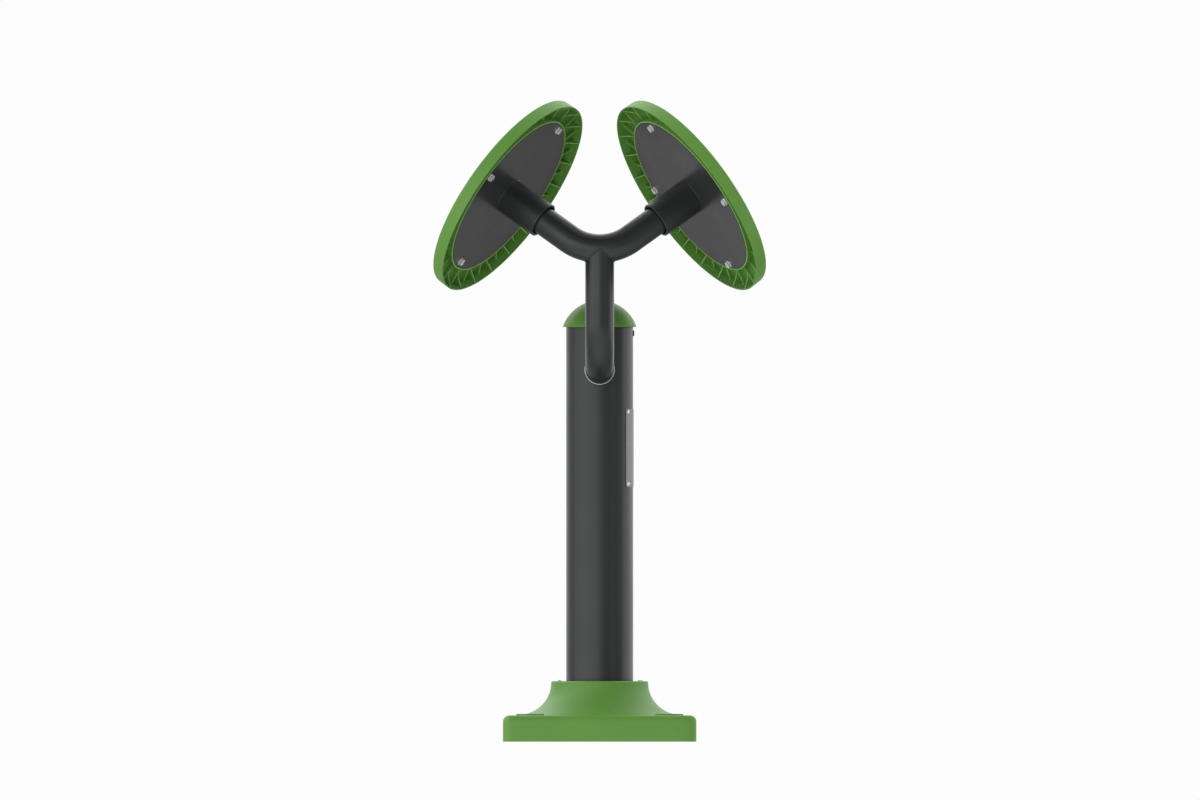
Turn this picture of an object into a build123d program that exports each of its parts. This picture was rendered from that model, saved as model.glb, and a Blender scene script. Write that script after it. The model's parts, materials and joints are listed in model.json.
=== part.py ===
from build123d import *
import os
from math import cos, radians, sin, sqrt

# Outdoor fitness station: a post whose hooked arm carries a V yoke with two hand discs.
# Millimetres, +Z up. The origin is on the post's axis at ground level, in the middle of the
# anchor holes. The user stands on the +Y side, which the faces of the discs point to.

# Base flange and its gussets
FLANGE_WIDTH = 360.0
FLANGE_THICK = 12.0
FLANGE_CORNER_R = 20.0
ANCHOR_INSET = 35.0
ANCHOR_HOLE_D = 18.0
GUSSET_COUNT = 4
GUSSET_THICK = 8.0
GUSSET_FOOT = 60.0
GUSSET_HEIGHT = 80.0
GUSSET_NOSE = 10.0

# Post
POST_D = 139.7
POST_WALL = 4.0
POST_TOP_Z = 863.6

# Post cap and its screw
CAP_OVERHANG = 7.0
CAP_RISE = 55.5
CAP_WALL = 3.5
CAP_SKIRT = 30.0
CAP_SKIRT_FIT = 0.4
CAP_SCREW_DROP = 13.0
CAP_SCREW_D = 5.0
CAP_SCREW_HEAD_D = 12.7
CAP_SCREW_HEAD_H = 2.4
CAP_SCREW_REACH = 12.0

# Foot cover in two halves
COVER_FLANGE_GAP = 17.5
COVER_WALL = 4.0
COVER_SHOULDER_Z = 55.0
COVER_CORNER_R = 18.0
COVER_EDGE_R = 13.0
BELL_MARGIN = 31.35
BELL_TOP_Z = 126.3
BELL_EDGE_R = 3.5
BELL_STRAIGHT = 0.5
FLARE_PLUG_GAP = 2.0
COVER_POST_GAP = 0.6
COVER_SEAM = 0.4

# Screws and joint straps on the bell
COVER_SCREW_D = 5.0
COVER_SCREW_HEAD_D = 12.4
COVER_SCREW_HEAD_H = 2.5
COVER_SCREW_INSET = 15.2
COVER_SCREW_Y = 14.0
STRAP_WIDTH = 13.0
STRAP_OVERHANG = 8.0
STRAP_THICK = 3.0
SCREW_FIT = 0.15
HEAD_CROWN_SHARE = 0.8

# Round plugs over the anchor bolts
PLUG_D = 58.0
PLUG_HEAD_H = 3.0
PLUG_EDGE_R = 1.2
PLUG_HOLE_D = 50.0
PLUG_FIT = 0.3
PLUG_SPIGOT_H = 9.0
PLUG_SPIGOT_WALL = 2.0

# Hooked arm and V yoke, both from the same tube
TUBE_D = 60.3
TUBE_WALL = 3.2
BEND_R = 100.0
ARM_ROOT_Z = 775.0
ARM_STUB = 10.0
YOKE_SADDLE_Z = 1027.0
YOKE_HALF_ANGLE = 50.4
YOKE_LEAN = 30.0
YOKE_ARM_LENGTH = 176.0
WELD_GAP = 0.2
SADDLE_TIP = 7.0
COPE_REACH = 15.0

# Information plate and rivets
INFO_BOTTOM_Z = 530.5
INFO_HEIGHT = 162.5
INFO_HALF_ANGLE = 39.0
INFO_THICK = 1.0
INFO_CORNER_R = 5.0
INFO_GAP = 0.1
RIVET_INSET_Z = 6.2
RIVET_INSET_ANGLE = 6.0
RIVET_D = 4.0
RIVET_HEAD_D = 8.0
RIVET_HEAD_H = 2.2
RIVET_TAIL = 2.0
RIVET_FIT = 0.15

# Axle in the end of each yoke arm
AXLE_PLUG_LENGTH = 30.0
AXLE_PLUG_FIT = 0.2
COLLAR_STEP = 1.15
COLLAR_THICK = 6.0
AXLE_SHOULDER_D = 37.0
AXLE_SHOULDER_THICK = 2.0
AXLE_THREAD_D = 27.0
AXLE_END_SPARE = 1.5

# Ball bearings, two per hub
BEARING_BORE = 30.0
BEARING_OD = 62.0
BEARING_WIDTH = 16.0
INNER_RING_OD = 38.0
OUTER_RING_BORE = 54.0
BALL_D = 9.525
BALL_COUNT = 9
BALL_GAP = 0.25
CAGE_WALL = 3.0
CAGE_WIDTH = 11.2
CAGE_GAP = 0.2
SEAL_THICK = 1.2
SEAL_INSET = 0.6
SEAL_GAP = 0.3
BEARING_FIT = 0.05

# Spacer, washer and lock nut on the axle
SPACER_LENGTH = 14.0
SPACER_D = 36.0
WASHER_D = 38.0
WASHER_THICK = 3.0
NUT_FLATS = 41.0
NUT_HEIGHT = 13.5
NUT_FIT = 0.15

# Hub sleeve and its dust seal
SLEEVE_LENGTH = 94.0
SLEEVE_LAP = 24.6
SLEEVE_MOUTH_GAP = 3.4
SLEEVE_MOUTH_WALL = 4.5
SLEEVE_LIP_R = 1.8
DUST_SEAL_WIDTH = 4.5
DUST_SEAL_INSET = 1.0
DUST_SEAL_GAP = 0.25
DUST_SEAL_FIT = 0.05

# Steel plate behind each disc
PLATE_D = 364.0
PLATE_THICK = 4.0
PLATE_BOLT_INSET = 12.0
PLATE_BOLT_COUNT = 4

# Bolts, washers and inserts that hold each disc
BOLT_D = 8.0
BOLT_FIT = 0.3
BOLT_FLATS = 13.0
BOLT_HEAD_H = 5.3
BOLT_CROWN_R = 9.75
BOLT_CROWN_SINK = 7.15
BOLT_WASHER_D = 16.0
BOLT_WASHER_THICK = 1.6
BOLT_REACH = 8.0
INSERT_D = 11.0
INSERT_LENGTH = 9.0
INSERT_FIT = 0.1

# Disc
DISC_BAND = 46.0
DISC_DEPTH = 26.7
RIM_DRAFT = 1.2
DISC_WALL = 3.0
DISC_CROWN = 8.0
DISC_EDGE_R = 2.5
PLATE_SINK = 10.0
RING_GAP = 0.6
RING_WALL = 3.2
SUPPORT_RING_R = 95.0
BOSS_D = 20.0
RIB_COUNT = 24
RIB_THICK = 2.2
RIB_REACH = 20.0
RIB_DROP = 3.0
LOW_RIB_H = 9.0

# How far each disc stands turned at rest, in degrees about its own axis
LEFT_TURN = 3.0
RIGHT_TURN = 17.8

# Sizes that follow from the ones above
ANCHOR_SPACING = FLANGE_WIDTH - 2 * ANCHOR_INSET
COVER_WIDTH = FLANGE_WIDTH + 2 * (COVER_FLANGE_GAP + COVER_WALL)
POST_R = POST_D / 2
POST_BORE_R = POST_R - POST_WALL
CAP_RIM_R = POST_R + CAP_OVERHANG
CAP_SPHERE_R = (CAP_RIM_R**2 + CAP_RISE**2) / (2 * CAP_RISE)
BELL_R = POST_R + BELL_MARGIN
FLARE_Z = BELL_TOP_Z - COVER_WALL - BELL_STRAIGHT
FLARE_END_R = ANCHOR_SPACING / sqrt(2) - PLUG_D / 2 - FLARE_PLUG_GAP
COVER_SCREW_X = BELL_R - COVER_SCREW_INSET
TUBE_R = TUBE_D / 2
TUBE_BORE_R = TUBE_R - TUBE_WALL
ARM_Y = -(POST_R + ARM_STUB + BEND_R)

LEAN_Y = sin(radians(YOKE_LEAN))
LEAN_Z = cos(radians(YOKE_LEAN))
CORNER_RISE = BEND_R * (1 / sin(radians(YOKE_HALF_ANGLE)) - 1)
CORNER = Vector(0, ARM_Y - CORNER_RISE * LEAN_Y, YOKE_SADDLE_Z - CORNER_RISE * LEAN_Z)

# Places along each hub's axis, counted from the corner where the two arms' axes meet
COLLAR_END = YOKE_ARM_LENGTH + COLLAR_THICK
BEARING_1 = COLLAR_END + AXLE_SHOULDER_THICK
SPACER_START = BEARING_1 + BEARING_WIDTH
BEARING_2 = SPACER_START + SPACER_LENGTH
STACK_END = BEARING_2 + BEARING_WIDTH
NUT_START = STACK_END + WASHER_THICK
NUT_END = NUT_START + NUT_HEIGHT
SLEEVE_MOUTH = YOKE_ARM_LENGTH - SLEEVE_LAP
PLATE_BACK = SLEEVE_MOUTH + SLEEVE_LENGTH
PLATE_FRONT = PLATE_BACK + PLATE_THICK
RIM_BACK = PLATE_BACK - PLATE_SINK
RIM_FRONT = RIM_BACK + DISC_DEPTH
DISC_FLOOR = RIM_FRONT - DISC_WALL

COLLAR_R = TUBE_R - COLLAR_STEP
SLEEVE_MOUTH_R = TUBE_R + SLEEVE_MOUTH_GAP
SLEEVE_R = SLEEVE_MOUTH_R + SLEEVE_MOUTH_WALL
BALL_PITCH_R = (INNER_RING_OD + OUTER_RING_BORE) / 4
PLATE_R = PLATE_D / 2
PLATE_BOLT_R = PLATE_R - PLATE_BOLT_INSET
DISC_R = PLATE_R + DISC_BAND
RIM_BORE_R = DISC_R - DISC_WALL
UPWARD = (Align.CENTER, Align.CENTER, Align.MIN)
CUT_SPARE = 20.0
OVERCUT = 1.0
EDGE_MATCH = 0.01


def disc_of(radius, low, high):
    """A plain round of the given radius between two heights on the Z axis."""
    return Pos(0, 0, low) * Cylinder(radius, high - low, align=UPWARD)


def ring(outer_r, inner_r, low, high):
    """A round with a bore, between two heights on the Z axis."""
    return disc_of(outer_r, low, high) - disc_of(inner_r, low - OVERCUT, high + OVERCUT)


def hexagon(flats, low, high):
    """A hexagonal prism with the given width across flats."""
    outline = RegularPolygon(flats / 2, 6, major_radius=False)
    return Pos(0, 0, low) * extrude(outline, high - low)


def pan_head(diameter, height, low):
    """A low screw or rivet head with a rounded crown."""
    head = disc_of(diameter / 2, low, low + height)
    top = head.edges().group_by(Axis.Z)[-1]
    return fillet(top, height * HEAD_CROWN_SHARE)


def around(shape, count, first=0.0):
    """Copies of a shape, evenly spaced round the Z axis."""
    return [Rot(0, 0, first + 360 * i / count) * shape for i in range(count)]


def fused(start, pieces):
    """One solid from a body and the pieces that grow out of it."""
    body = start
    for piece in pieces:
        body = body + piece
    return body


def swept(points, bend, radius):
    """A round bar along straight runs joined by one bend."""
    path = FilletPolyline(*points, radius=bend)
    section = Plane(origin=path @ 0, z_dir=path % 0) * Circle(radius)
    return sweep(section, path=path)


# Base


def anchor_places():
    """Centres of the four anchor holes."""
    half = ANCHOR_SPACING / 2
    return [(x, y) for x in (-half, half) for y in (-half, half)]


def base_flange():
    """Square plate on the ground with an anchor hole near each corner."""
    plate = extrude(RectangleRounded(FLANGE_WIDTH, FLANGE_WIDTH, FLANGE_CORNER_R), FLANGE_THICK)
    for x, y in anchor_places():
        plate -= Pos(x, y, 0) * disc_of(ANCHOR_HOLE_D / 2, -OVERCUT, FLANGE_THICK + OVERCUT)
    return plate


def flange_gussets():
    """Triangular plates that brace the post on the flange."""
    foot_r = POST_R + GUSSET_FOOT
    top_z = FLANGE_THICK + GUSSET_HEIGHT
    start_r = POST_R - COPE_REACH
    outline = Polyline(
        (start_r, FLANGE_THICK),
        (foot_r, FLANGE_THICK),
        (foot_r, FLANGE_THICK + GUSSET_NOSE),
        (POST_R + GUSSET_NOSE, top_z),
        (start_r, top_z),
        close=True,
    )
    plate = extrude(Plane.XZ * make_face(outline), GUSSET_THICK / 2, both=True)
    plate -= disc_of(POST_R + WELD_GAP, 0, top_z + OVERCUT)
    return around(plate, GUSSET_COUNT)


def rivet_places():
    """Angle round the post and height of each rivet."""
    angle = INFO_HALF_ANGLE - RIVET_INSET_ANGLE
    low = INFO_BOTTOM_Z + RIVET_INSET_Z
    high = INFO_BOTTOM_Z + INFO_HEIGHT - RIVET_INSET_Z
    return [(a, z) for a in (-angle, angle) for z in (low, high)]


def radial(shape, angle, z):
    """Turns a shape made along +Z so that it points out of the post at an angle and height."""
    return Rot(0, 0, angle) * Pos(0, 0, z) * Rot(0, 90, 0) * shape


def main_post():
    """Round tube from the flange to the cap, drilled for the rivets and the cap screw."""
    tube = ring(POST_R, POST_BORE_R, FLANGE_THICK, POST_TOP_Z)
    rivet_hole = disc_of(RIVET_D / 2 + RIVET_FIT, POST_BORE_R - CUT_SPARE, POST_R + CUT_SPARE)
    for angle, z in rivet_places():
        tube -= radial(rivet_hole, angle, z)
    screw_hole = disc_of(CAP_SCREW_D / 2 + SCREW_FIT, POST_BORE_R - CUT_SPARE, POST_R + CUT_SPARE)
    tube -= radial(screw_hole, 0, POST_TOP_Z - CAP_SCREW_DROP)
    return tube


def post_cap():
    """Hollow dome on the post, with a skirt that reaches down inside the tube."""
    centre_z = POST_TOP_Z + CAP_RISE - CAP_SPHERE_R
    above = Pos(0, 0, POST_TOP_Z) * Box(4 * CAP_SPHERE_R, 4 * CAP_SPHERE_R, 2 * CAP_SPHERE_R, align=UPWARD)
    dome = (Pos(0, 0, centre_z) * Sphere(CAP_SPHERE_R)) & above
    hollow = (Pos(0, 0, centre_z) * Sphere(CAP_SPHERE_R - CAP_WALL)) & (Pos(0, 0, CAP_WALL) * above)
    skirt_r = POST_BORE_R - CAP_SKIRT_FIT
    skirt_top = POST_TOP_Z + CAP_WALL
    cap = dome - hollow
    cap -= disc_of(skirt_r - CAP_WALL, POST_TOP_Z - OVERCUT, skirt_top)
    cap += ring(skirt_r, skirt_r - CAP_WALL, POST_TOP_Z - CAP_SKIRT, skirt_top)
    hole = disc_of(CAP_SCREW_D / 2 + SCREW_FIT, 0, POST_R)
    return cap - radial(hole, 0, POST_TOP_Z - CAP_SCREW_DROP)


def cap_screw():
    """Pan-head screw through the post into the cap's skirt."""
    head = pan_head(CAP_SCREW_HEAD_D, CAP_SCREW_HEAD_H, POST_R)
    shank = disc_of(CAP_SCREW_D / 2, POST_R - CAP_SCREW_REACH, POST_R)
    return radial(head + shank, 0, POST_TOP_Z - CAP_SCREW_DROP)


# Foot cover


def cover_form(inset):
    """Square shoulder and flared bell, drawn in by the given wall on every side."""
    side = COVER_WIDTH - 2 * inset
    top_z = COVER_SHOULDER_Z - inset
    shoulder = extrude(RectangleRounded(side, side, COVER_CORNER_R - inset), top_z)
    shoulder = fillet(shoulder.faces().sort_by(Axis.Z)[-1].edges(), COVER_EDGE_R - inset)
    bell_r = BELL_R - inset
    flare = EllipticalCenterArc((FLARE_END_R, FLARE_Z), FLARE_END_R - bell_r, FLARE_Z - top_z, 180, arc_size=90)
    rest = Polyline(
        (bell_r, FLARE_Z),
        (bell_r, BELL_TOP_Z - inset),
        (0, BELL_TOP_Z - inset),
        (0, 0),
        (FLARE_END_R, 0),
        (FLARE_END_R, top_z),
    )
    bell = revolve(Plane.XZ * make_face([flare, rest]), Axis.Z)
    return shoulder + bell


def cover_screw_places():
    """Centres of the screws, one each side of the seam on both sides of the post."""
    return [(x, y) for x in (-COVER_SCREW_X, COVER_SCREW_X) for y in (-COVER_SCREW_Y, COVER_SCREW_Y)]


def foot_cover_shell():
    """The whole cover: a thin shell with the post's opening, plug holes and screw holes."""
    outside = cover_form(0)
    rim = outside.edges().group_by(Axis.Z)[-1]
    shell = fillet(rim, BELL_EDGE_R) - cover_form(COVER_WALL)
    shell -= disc_of(POST_R + COVER_POST_GAP, 0, BELL_TOP_Z + OVERCUT)
    for x, y in anchor_places():
        shell -= Pos(x, y, 0) * disc_of(PLUG_HOLE_D / 2, 0, COVER_SHOULDER_Z + OVERCUT)
    for x, y in cover_screw_places():
        shell -= Pos(x, y, 0) * disc_of(COVER_SCREW_D / 2 + SCREW_FIT, 0, BELL_TOP_Z + OVERCUT)
    return shell


def cover_half(shell, side):
    """One half of the cover, on the -Y or the +Y side of the seam."""
    room = Box(2 * COVER_WIDTH, COVER_WIDTH, 2 * BELL_TOP_Z, align=(Align.CENTER, Align.MIN, Align.CENTER))
    keep = Pos(0, COVER_SEAM / 2, 0) * room
    if side < 0:
        keep = Rot(0, 0, 180) * keep
    return shell & keep


def cover_joint_straps():
    """Flat straps under the bell's top face that join the halves across the seam."""
    top_z = BELL_TOP_Z - COVER_WALL
    length = 2 * (COVER_SCREW_Y + STRAP_OVERHANG)
    straps = []
    for x in (-COVER_SCREW_X, COVER_SCREW_X):
        strap = extrude(RectangleRounded(STRAP_WIDTH, length, STRAP_WIDTH / 4), STRAP_THICK)
        for y in (-COVER_SCREW_Y, COVER_SCREW_Y):
            strap -= Pos(0, y, 0) * disc_of(COVER_SCREW_D / 2 + SCREW_FIT, -OVERCUT, STRAP_THICK + OVERCUT)
        straps.append(Pos(x, 0, top_z - STRAP_THICK) * strap)
    return straps


def foot_cover_screws():
    """Pan-head screws through the bell's top face into the straps."""
    head = pan_head(COVER_SCREW_HEAD_D, COVER_SCREW_HEAD_H, BELL_TOP_Z)
    tip_z = BELL_TOP_Z - COVER_WALL - 2 * STRAP_THICK
    screw = head + disc_of(COVER_SCREW_D / 2, tip_z, BELL_TOP_Z)
    return [Pos(x, y, 0) * screw for x, y in cover_screw_places()]


def anchor_plugs():
    """Round caps with a hollow spigot that push into the cover over the anchor bolts."""
    head = disc_of(PLUG_D / 2, COVER_SHOULDER_Z, COVER_SHOULDER_Z + PLUG_HEAD_H)
    head = fillet(head.edges().group_by(Axis.Z)[-1], PLUG_EDGE_R)
    spigot_r = PLUG_HOLE_D / 2 - PLUG_FIT
    spigot = ring(spigot_r, spigot_r - PLUG_SPIGOT_WALL, COVER_SHOULDER_Z - PLUG_SPIGOT_H, COVER_SHOULDER_Z)
    return [Pos(x, y, 0) * (head + spigot) for x, y in anchor_places()]


# Information plate


def info_plate():
    """Thin bare plate curved round the post."""
    inner_r = POST_R + INFO_GAP
    section = Polyline(
        (inner_r, INFO_BOTTOM_Z),
        (inner_r + INFO_THICK, INFO_BOTTOM_Z),
        (inner_r + INFO_THICK, INFO_BOTTOM_Z + INFO_HEIGHT),
        (inner_r, INFO_BOTTOM_Z + INFO_HEIGHT),
        close=True,
    )
    sheet = revolve(Plane.XZ * make_face(section), Axis.Z, revolution_arc=2 * INFO_HALF_ANGLE)
    sheet = Rot(0, 0, -INFO_HALF_ANGLE) * sheet
    corners = [edge for edge in sheet.edges() if abs(edge.length - INFO_THICK) < INFO_THICK / 100]
    sheet = fillet(corners, INFO_CORNER_R)
    hole = disc_of(RIVET_D / 2 + RIVET_FIT, 0, POST_R + CUT_SPARE)
    for angle, z in rivet_places():
        sheet -= radial(hole, angle, z)
    return sheet


def plate_rivets():
    """Round-headed blind rivets through the plate and the post's wall."""
    seat_r = POST_R + INFO_GAP + INFO_THICK
    head = pan_head(RIVET_HEAD_D, RIVET_HEAD_H, seat_r)
    rivet = head + disc_of(RIVET_D / 2, POST_BORE_R - RIVET_TAIL, seat_r)
    return [radial(rivet, angle, z) for angle, z in rivet_places()]


# Arm and yoke


def arm_axis(side):
    """Direction of one yoke arm; side is -1 for the left one and 1 for the right one."""
    half = radians(YOKE_HALF_ANGLE)
    return Vector(side * sin(half), cos(half) * LEAN_Y, cos(half) * LEAN_Z)


def yoke_bar(radius):
    """The yoke's round bar from one end to the other."""
    left_end = CORNER + arm_axis(-1) * YOKE_ARM_LENGTH
    right_end = CORNER + arm_axis(1) * YOKE_ARM_LENGTH
    return swept([left_end, CORNER, right_end], BEND_R, radius)


def arm_bar(radius):
    """The arm's round bar from inside the post to the saddle under the yoke."""
    root = (0, -(POST_R - COPE_REACH), ARM_ROOT_Z)
    turn = (0, ARM_Y, ARM_ROOT_Z)
    tip = (0, ARM_Y, YOKE_SADDLE_Z - SADDLE_TIP)
    return swept([root, turn, tip], BEND_R, radius)


def arm_tube():
    """Hooked tube, cut to a saddle at both ends to meet the post and the yoke."""
    tube = arm_bar(TUBE_R) - arm_bar(TUBE_BORE_R)
    tube -= disc_of(POST_R + WELD_GAP, 0, POST_TOP_Z)
    return tube - yoke_bar(TUBE_R + WELD_GAP)


def yoke_tube():
    """V-shaped tube bent in one piece, open at both ends for the axles."""
    return yoke_bar(TUBE_R) - yoke_bar(TUBE_BORE_R)


# Hub pieces that stand still, made along +Z


def axle():
    """Turned axle: a plug in the tube's end, a collar, a shoulder, the seat and the thread."""
    plug_r = TUBE_BORE_R - AXLE_PLUG_FIT
    seat_r = BEARING_BORE / 2 - BEARING_FIT
    pieces = [
        disc_of(COLLAR_R, YOKE_ARM_LENGTH, COLLAR_END),
        disc_of(AXLE_SHOULDER_D / 2, COLLAR_END, BEARING_1),
        disc_of(seat_r, BEARING_1, STACK_END - AXLE_END_SPARE),
        disc_of(AXLE_THREAD_D / 2, STACK_END - AXLE_END_SPARE, NUT_END + AXLE_END_SPARE),
    ]
    return fused(disc_of(plug_r, YOKE_ARM_LENGTH - AXLE_PLUG_LENGTH, YOKE_ARM_LENGTH), pieces)


def bearing_starts():
    """Where each of the hub's two bearings begins on the axis."""
    return (BEARING_1, BEARING_2)


def ball_groove(start):
    """The round groove that the balls run in."""
    return Pos(0, 0, start + BEARING_WIDTH / 2) * Torus(BALL_PITCH_R, BALL_D / 2 + BALL_GAP)


def bearing_inner_rings():
    """The two rings that are clamped on the axle."""
    rings = []
    for start in bearing_starts():
        blank = ring(INNER_RING_OD / 2, BEARING_BORE / 2, start, start + BEARING_WIDTH)
        rings.append(blank - ball_groove(start))
    return rings


def bearing_spacer():
    """Sleeve between the two inner rings."""
    return ring(SPACER_D / 2, BEARING_BORE / 2 + BEARING_FIT, SPACER_START, BEARING_2)


def axle_washer():
    """Thick washer between the outer bearing and the nut."""
    return ring(WASHER_D / 2, AXLE_THREAD_D / 2 + NUT_FIT, STACK_END, NUT_START)


def axle_nut():
    """Thin lock nut on the end of the axle."""
    return hexagon(NUT_FLATS, NUT_START, NUT_END) - disc_of(AXLE_THREAD_D / 2 + NUT_FIT, 0, 2 * NUT_END)


# Balls and cages, which roll round between the rings


def bearing_balls():
    """The balls of both bearings."""
    ball = Pos(BALL_PITCH_R, 0, BEARING_WIDTH / 2) * Sphere(BALL_D / 2)
    return [Pos(0, 0, start) * one for start in bearing_starts() for one in around(ball, BALL_COUNT)]


def ball_cages():
    """Rings with a pocket for each ball."""
    pocket = Pos(0, 0, BEARING_WIDTH / 2) * Rot(0, 90, 0) * disc_of(BALL_D / 2 + CAGE_GAP, 0, BEARING_OD)
    low = (BEARING_WIDTH - CAGE_WIDTH) / 2
    cage = ring(BALL_PITCH_R + CAGE_WALL / 2, BALL_PITCH_R - CAGE_WALL / 2, low, low + CAGE_WIDTH)
    for hole in around(pocket, BALL_COUNT):
        cage -= hole
    return [Pos(0, 0, start) * cage for start in bearing_starts()]


# Hub pieces that turn with the disc


def bearing_outer_rings():
    """The two rings that are held in the sleeve."""
    rings = []
    for start in bearing_starts():
        blank = ring(BEARING_OD / 2 - BEARING_FIT, OUTER_RING_BORE / 2, start, start + BEARING_WIDTH)
        rings.append(blank - ball_groove(start))
    return rings


def bearing_seals():
    """Thin rubber rings that close both sides of each bearing."""
    outer_r = OUTER_RING_BORE / 2 - BEARING_FIT
    inner_r = INNER_RING_OD / 2 + SEAL_GAP
    seals = []
    for start in bearing_starts():
        near = start + SEAL_INSET
        far = start + BEARING_WIDTH - SEAL_INSET - SEAL_THICK
        seals.append(ring(outer_r, inner_r, near, near + SEAL_THICK))
        seals.append(ring(outer_r, inner_r, far, far + SEAL_THICK))
    return seals


def hub_sleeve():
    """Thick tube with two bearing seats, a land between them and a wider mouth."""
    blank = disc_of(SLEEVE_R, SLEEVE_MOUTH, PLATE_BACK)
    blank = fillet(blank.edges().group_by(Axis.Z)[0], SLEEVE_LIP_R)
    blank -= disc_of(SLEEVE_MOUTH_R, SLEEVE_MOUTH - OVERCUT, BEARING_1)
    blank -= disc_of(BEARING_OD / 2, BEARING_1 - OVERCUT, SPACER_START)
    blank -= disc_of(OUTER_RING_BORE / 2, SPACER_START - OVERCUT, BEARING_2 + OVERCUT)
    return blank - disc_of(BEARING_OD / 2, BEARING_2, PLATE_BACK + OVERCUT)


def dust_seal():
    """Rubber ring in the sleeve's mouth that runs round the axle's collar."""
    start = YOKE_ARM_LENGTH + DUST_SEAL_INSET
    outer_r = SLEEVE_MOUTH_R - DUST_SEAL_FIT
    return ring(outer_r, COLLAR_R + DUST_SEAL_GAP, start, start + DUST_SEAL_WIDTH)


def bolt_circle(shape):
    """Copies of a shape made on the axis, moved out to each disc bolt."""
    return around(Pos(PLATE_BOLT_R, 0, 0) * shape, PLATE_BOLT_COUNT)


def disc_plate():
    """Round steel plate on the end of the sleeve, open in the middle for the nut."""
    plate = ring(PLATE_R, BEARING_OD / 2, PLATE_BACK, PLATE_FRONT)
    for hole in bolt_circle(disc_of(BOLT_D / 2 + BOLT_FIT, PLATE_BACK - OVERCUT, PLATE_FRONT + OVERCUT)):
        plate -= hole
    return plate


def disc_bolts():
    """Hexagon-head bolts through the plate into the disc."""
    seat = PLATE_BACK - BOLT_WASHER_THICK
    head = hexagon(BOLT_FLATS, seat - BOLT_HEAD_H, seat)
    crown = Pos(0, 0, seat - BOLT_HEAD_H) * Sphere(BOLT_CROWN_R)
    shank = disc_of(BOLT_D / 2, seat, PLATE_FRONT + BOLT_REACH)
    bolt = (head & (Pos(0, 0, BOLT_CROWN_SINK) * crown)) + shank
    return bolt_circle(bolt)


def disc_washers():
    """Flat washers under the bolt heads."""
    washer = ring(BOLT_WASHER_D / 2, BOLT_D / 2 + BOLT_FIT, PLATE_BACK - BOLT_WASHER_THICK, PLATE_BACK)
    return bolt_circle(washer)


def disc_inserts():
    """Threaded inserts moulded into the bosses of the disc."""
    bore_r = BOLT_D / 2 + INSERT_FIT
    return bolt_circle(ring(INSERT_D / 2, bore_r, PLATE_FRONT, PLATE_FRONT + INSERT_LENGTH))


def crowned(radius, base):
    """A round body whose front face bulges from its edge to the middle and whose rim widens backwards."""
    sphere_r = (radius**2 + DISC_CROWN**2) / (2 * DISC_CROWN)
    middle_r = radius / 2
    middle_z = base + DISC_CROWN - sphere_r + sqrt(sphere_r**2 - middle_r**2)
    front = ThreePointArc((radius, base), (middle_r, middle_z), (0, base + DISC_CROWN))
    back_r = radius + RIM_DRAFT
    rest = Polyline((0, base + DISC_CROWN), (0, RIM_BACK), (back_r, RIM_BACK), (radius, base))
    return revolve(Plane.XZ * make_face([front, rest]), Axis.Z)


def floor_height(radius):
    """Height of the disc's floor at a radius."""
    return DISC_FLOOR + DISC_CROWN * (1 - (radius / RIM_BORE_R) ** 2)


def disc_rib():
    """Triangular rib in the corner between the floor and the rim."""
    root_r = RIM_BORE_R + DISC_WALL / 2
    toe_r = RIM_BORE_R - RIB_REACH
    toe_z = floor_height(toe_r)
    outline = Polyline(
        (toe_r, toe_z),
        (root_r, RIM_BACK + RIB_DROP),
        (root_r, DISC_FLOOR + DISC_WALL / 2),
        (toe_r, toe_z + DISC_WALL / 2),
        close=True,
    )
    return extrude(Plane.XZ * make_face(outline), RIB_THICK / 2, both=True)


def low_rib():
    """Low rib along the floor from the plate's ring to the rim."""
    inner_r = PLATE_R + RING_GAP + RING_WALL / 2
    outer_r = RIM_BORE_R + DISC_WALL / 2
    outline = Polyline(
        (inner_r, floor_height(inner_r) - LOW_RIB_H),
        (outer_r, floor_height(outer_r) - LOW_RIB_H),
        (outer_r, floor_height(outer_r) + DISC_WALL / 2),
        (inner_r, floor_height(inner_r) + DISC_WALL / 2),
        close=True,
    )
    return extrude(Plane.XZ * make_face(outline), RIB_THICK / 2, both=True)


def disc():
    """Moulded disc: a thin crowned shell with a rim, rings, bosses and two kinds of rib behind it."""
    outside = crowned(DISC_R, RIM_FRONT)
    ring_bore_r = PLATE_R + RING_GAP
    reach = RIM_FRONT + DISC_CROWN
    inner_pieces = [
        ring(ring_bore_r + RING_WALL, ring_bore_r, PLATE_BACK, reach),
        ring(SUPPORT_RING_R + RING_WALL, SUPPORT_RING_R, PLATE_FRONT, reach),
    ]
    inner_pieces += bolt_circle(disc_of(BOSS_D / 2, PLATE_FRONT, reach))
    body = outside - crowned(RIM_BORE_R, DISC_FLOOR)
    body = fused(body, [piece & outside for piece in inner_pieces])
    body = fused(body, around(disc_rib(), RIB_COUNT, 180 / RIB_COUNT))
    body = fused(body, around(low_rib(), RIB_COUNT))
    for hole in bolt_circle(disc_of(INSERT_D / 2 + INSERT_FIT, PLATE_FRONT - OVERCUT, PLATE_FRONT + INSERT_LENGTH)):
        body -= hole
    front_edge = [e for e in body.edges() if e.geom_type == GeomType.CIRCLE and abs(e.radius - DISC_R) < EDGE_MATCH]
    return fillet(sorted(front_edge, key=lambda e: e.center().Z)[-1:], DISC_EDGE_R)


# Placing and writing


def hub_place(side):
    """The frame of one hub: +Z out along the arm, +X level with the lowest edge of the disc."""
    axis = arm_axis(side)
    down = Vector(axis.Z, 0, -axis.X) * side
    return Plane(origin=CORNER, x_dir=down, z_dir=axis).location


def as_list(shape):
    """The solids of a piece or of a group of pieces."""
    group = shape if isinstance(shape, list) else [shape]
    return [solid for piece in group for solid in piece.solids()]


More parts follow.
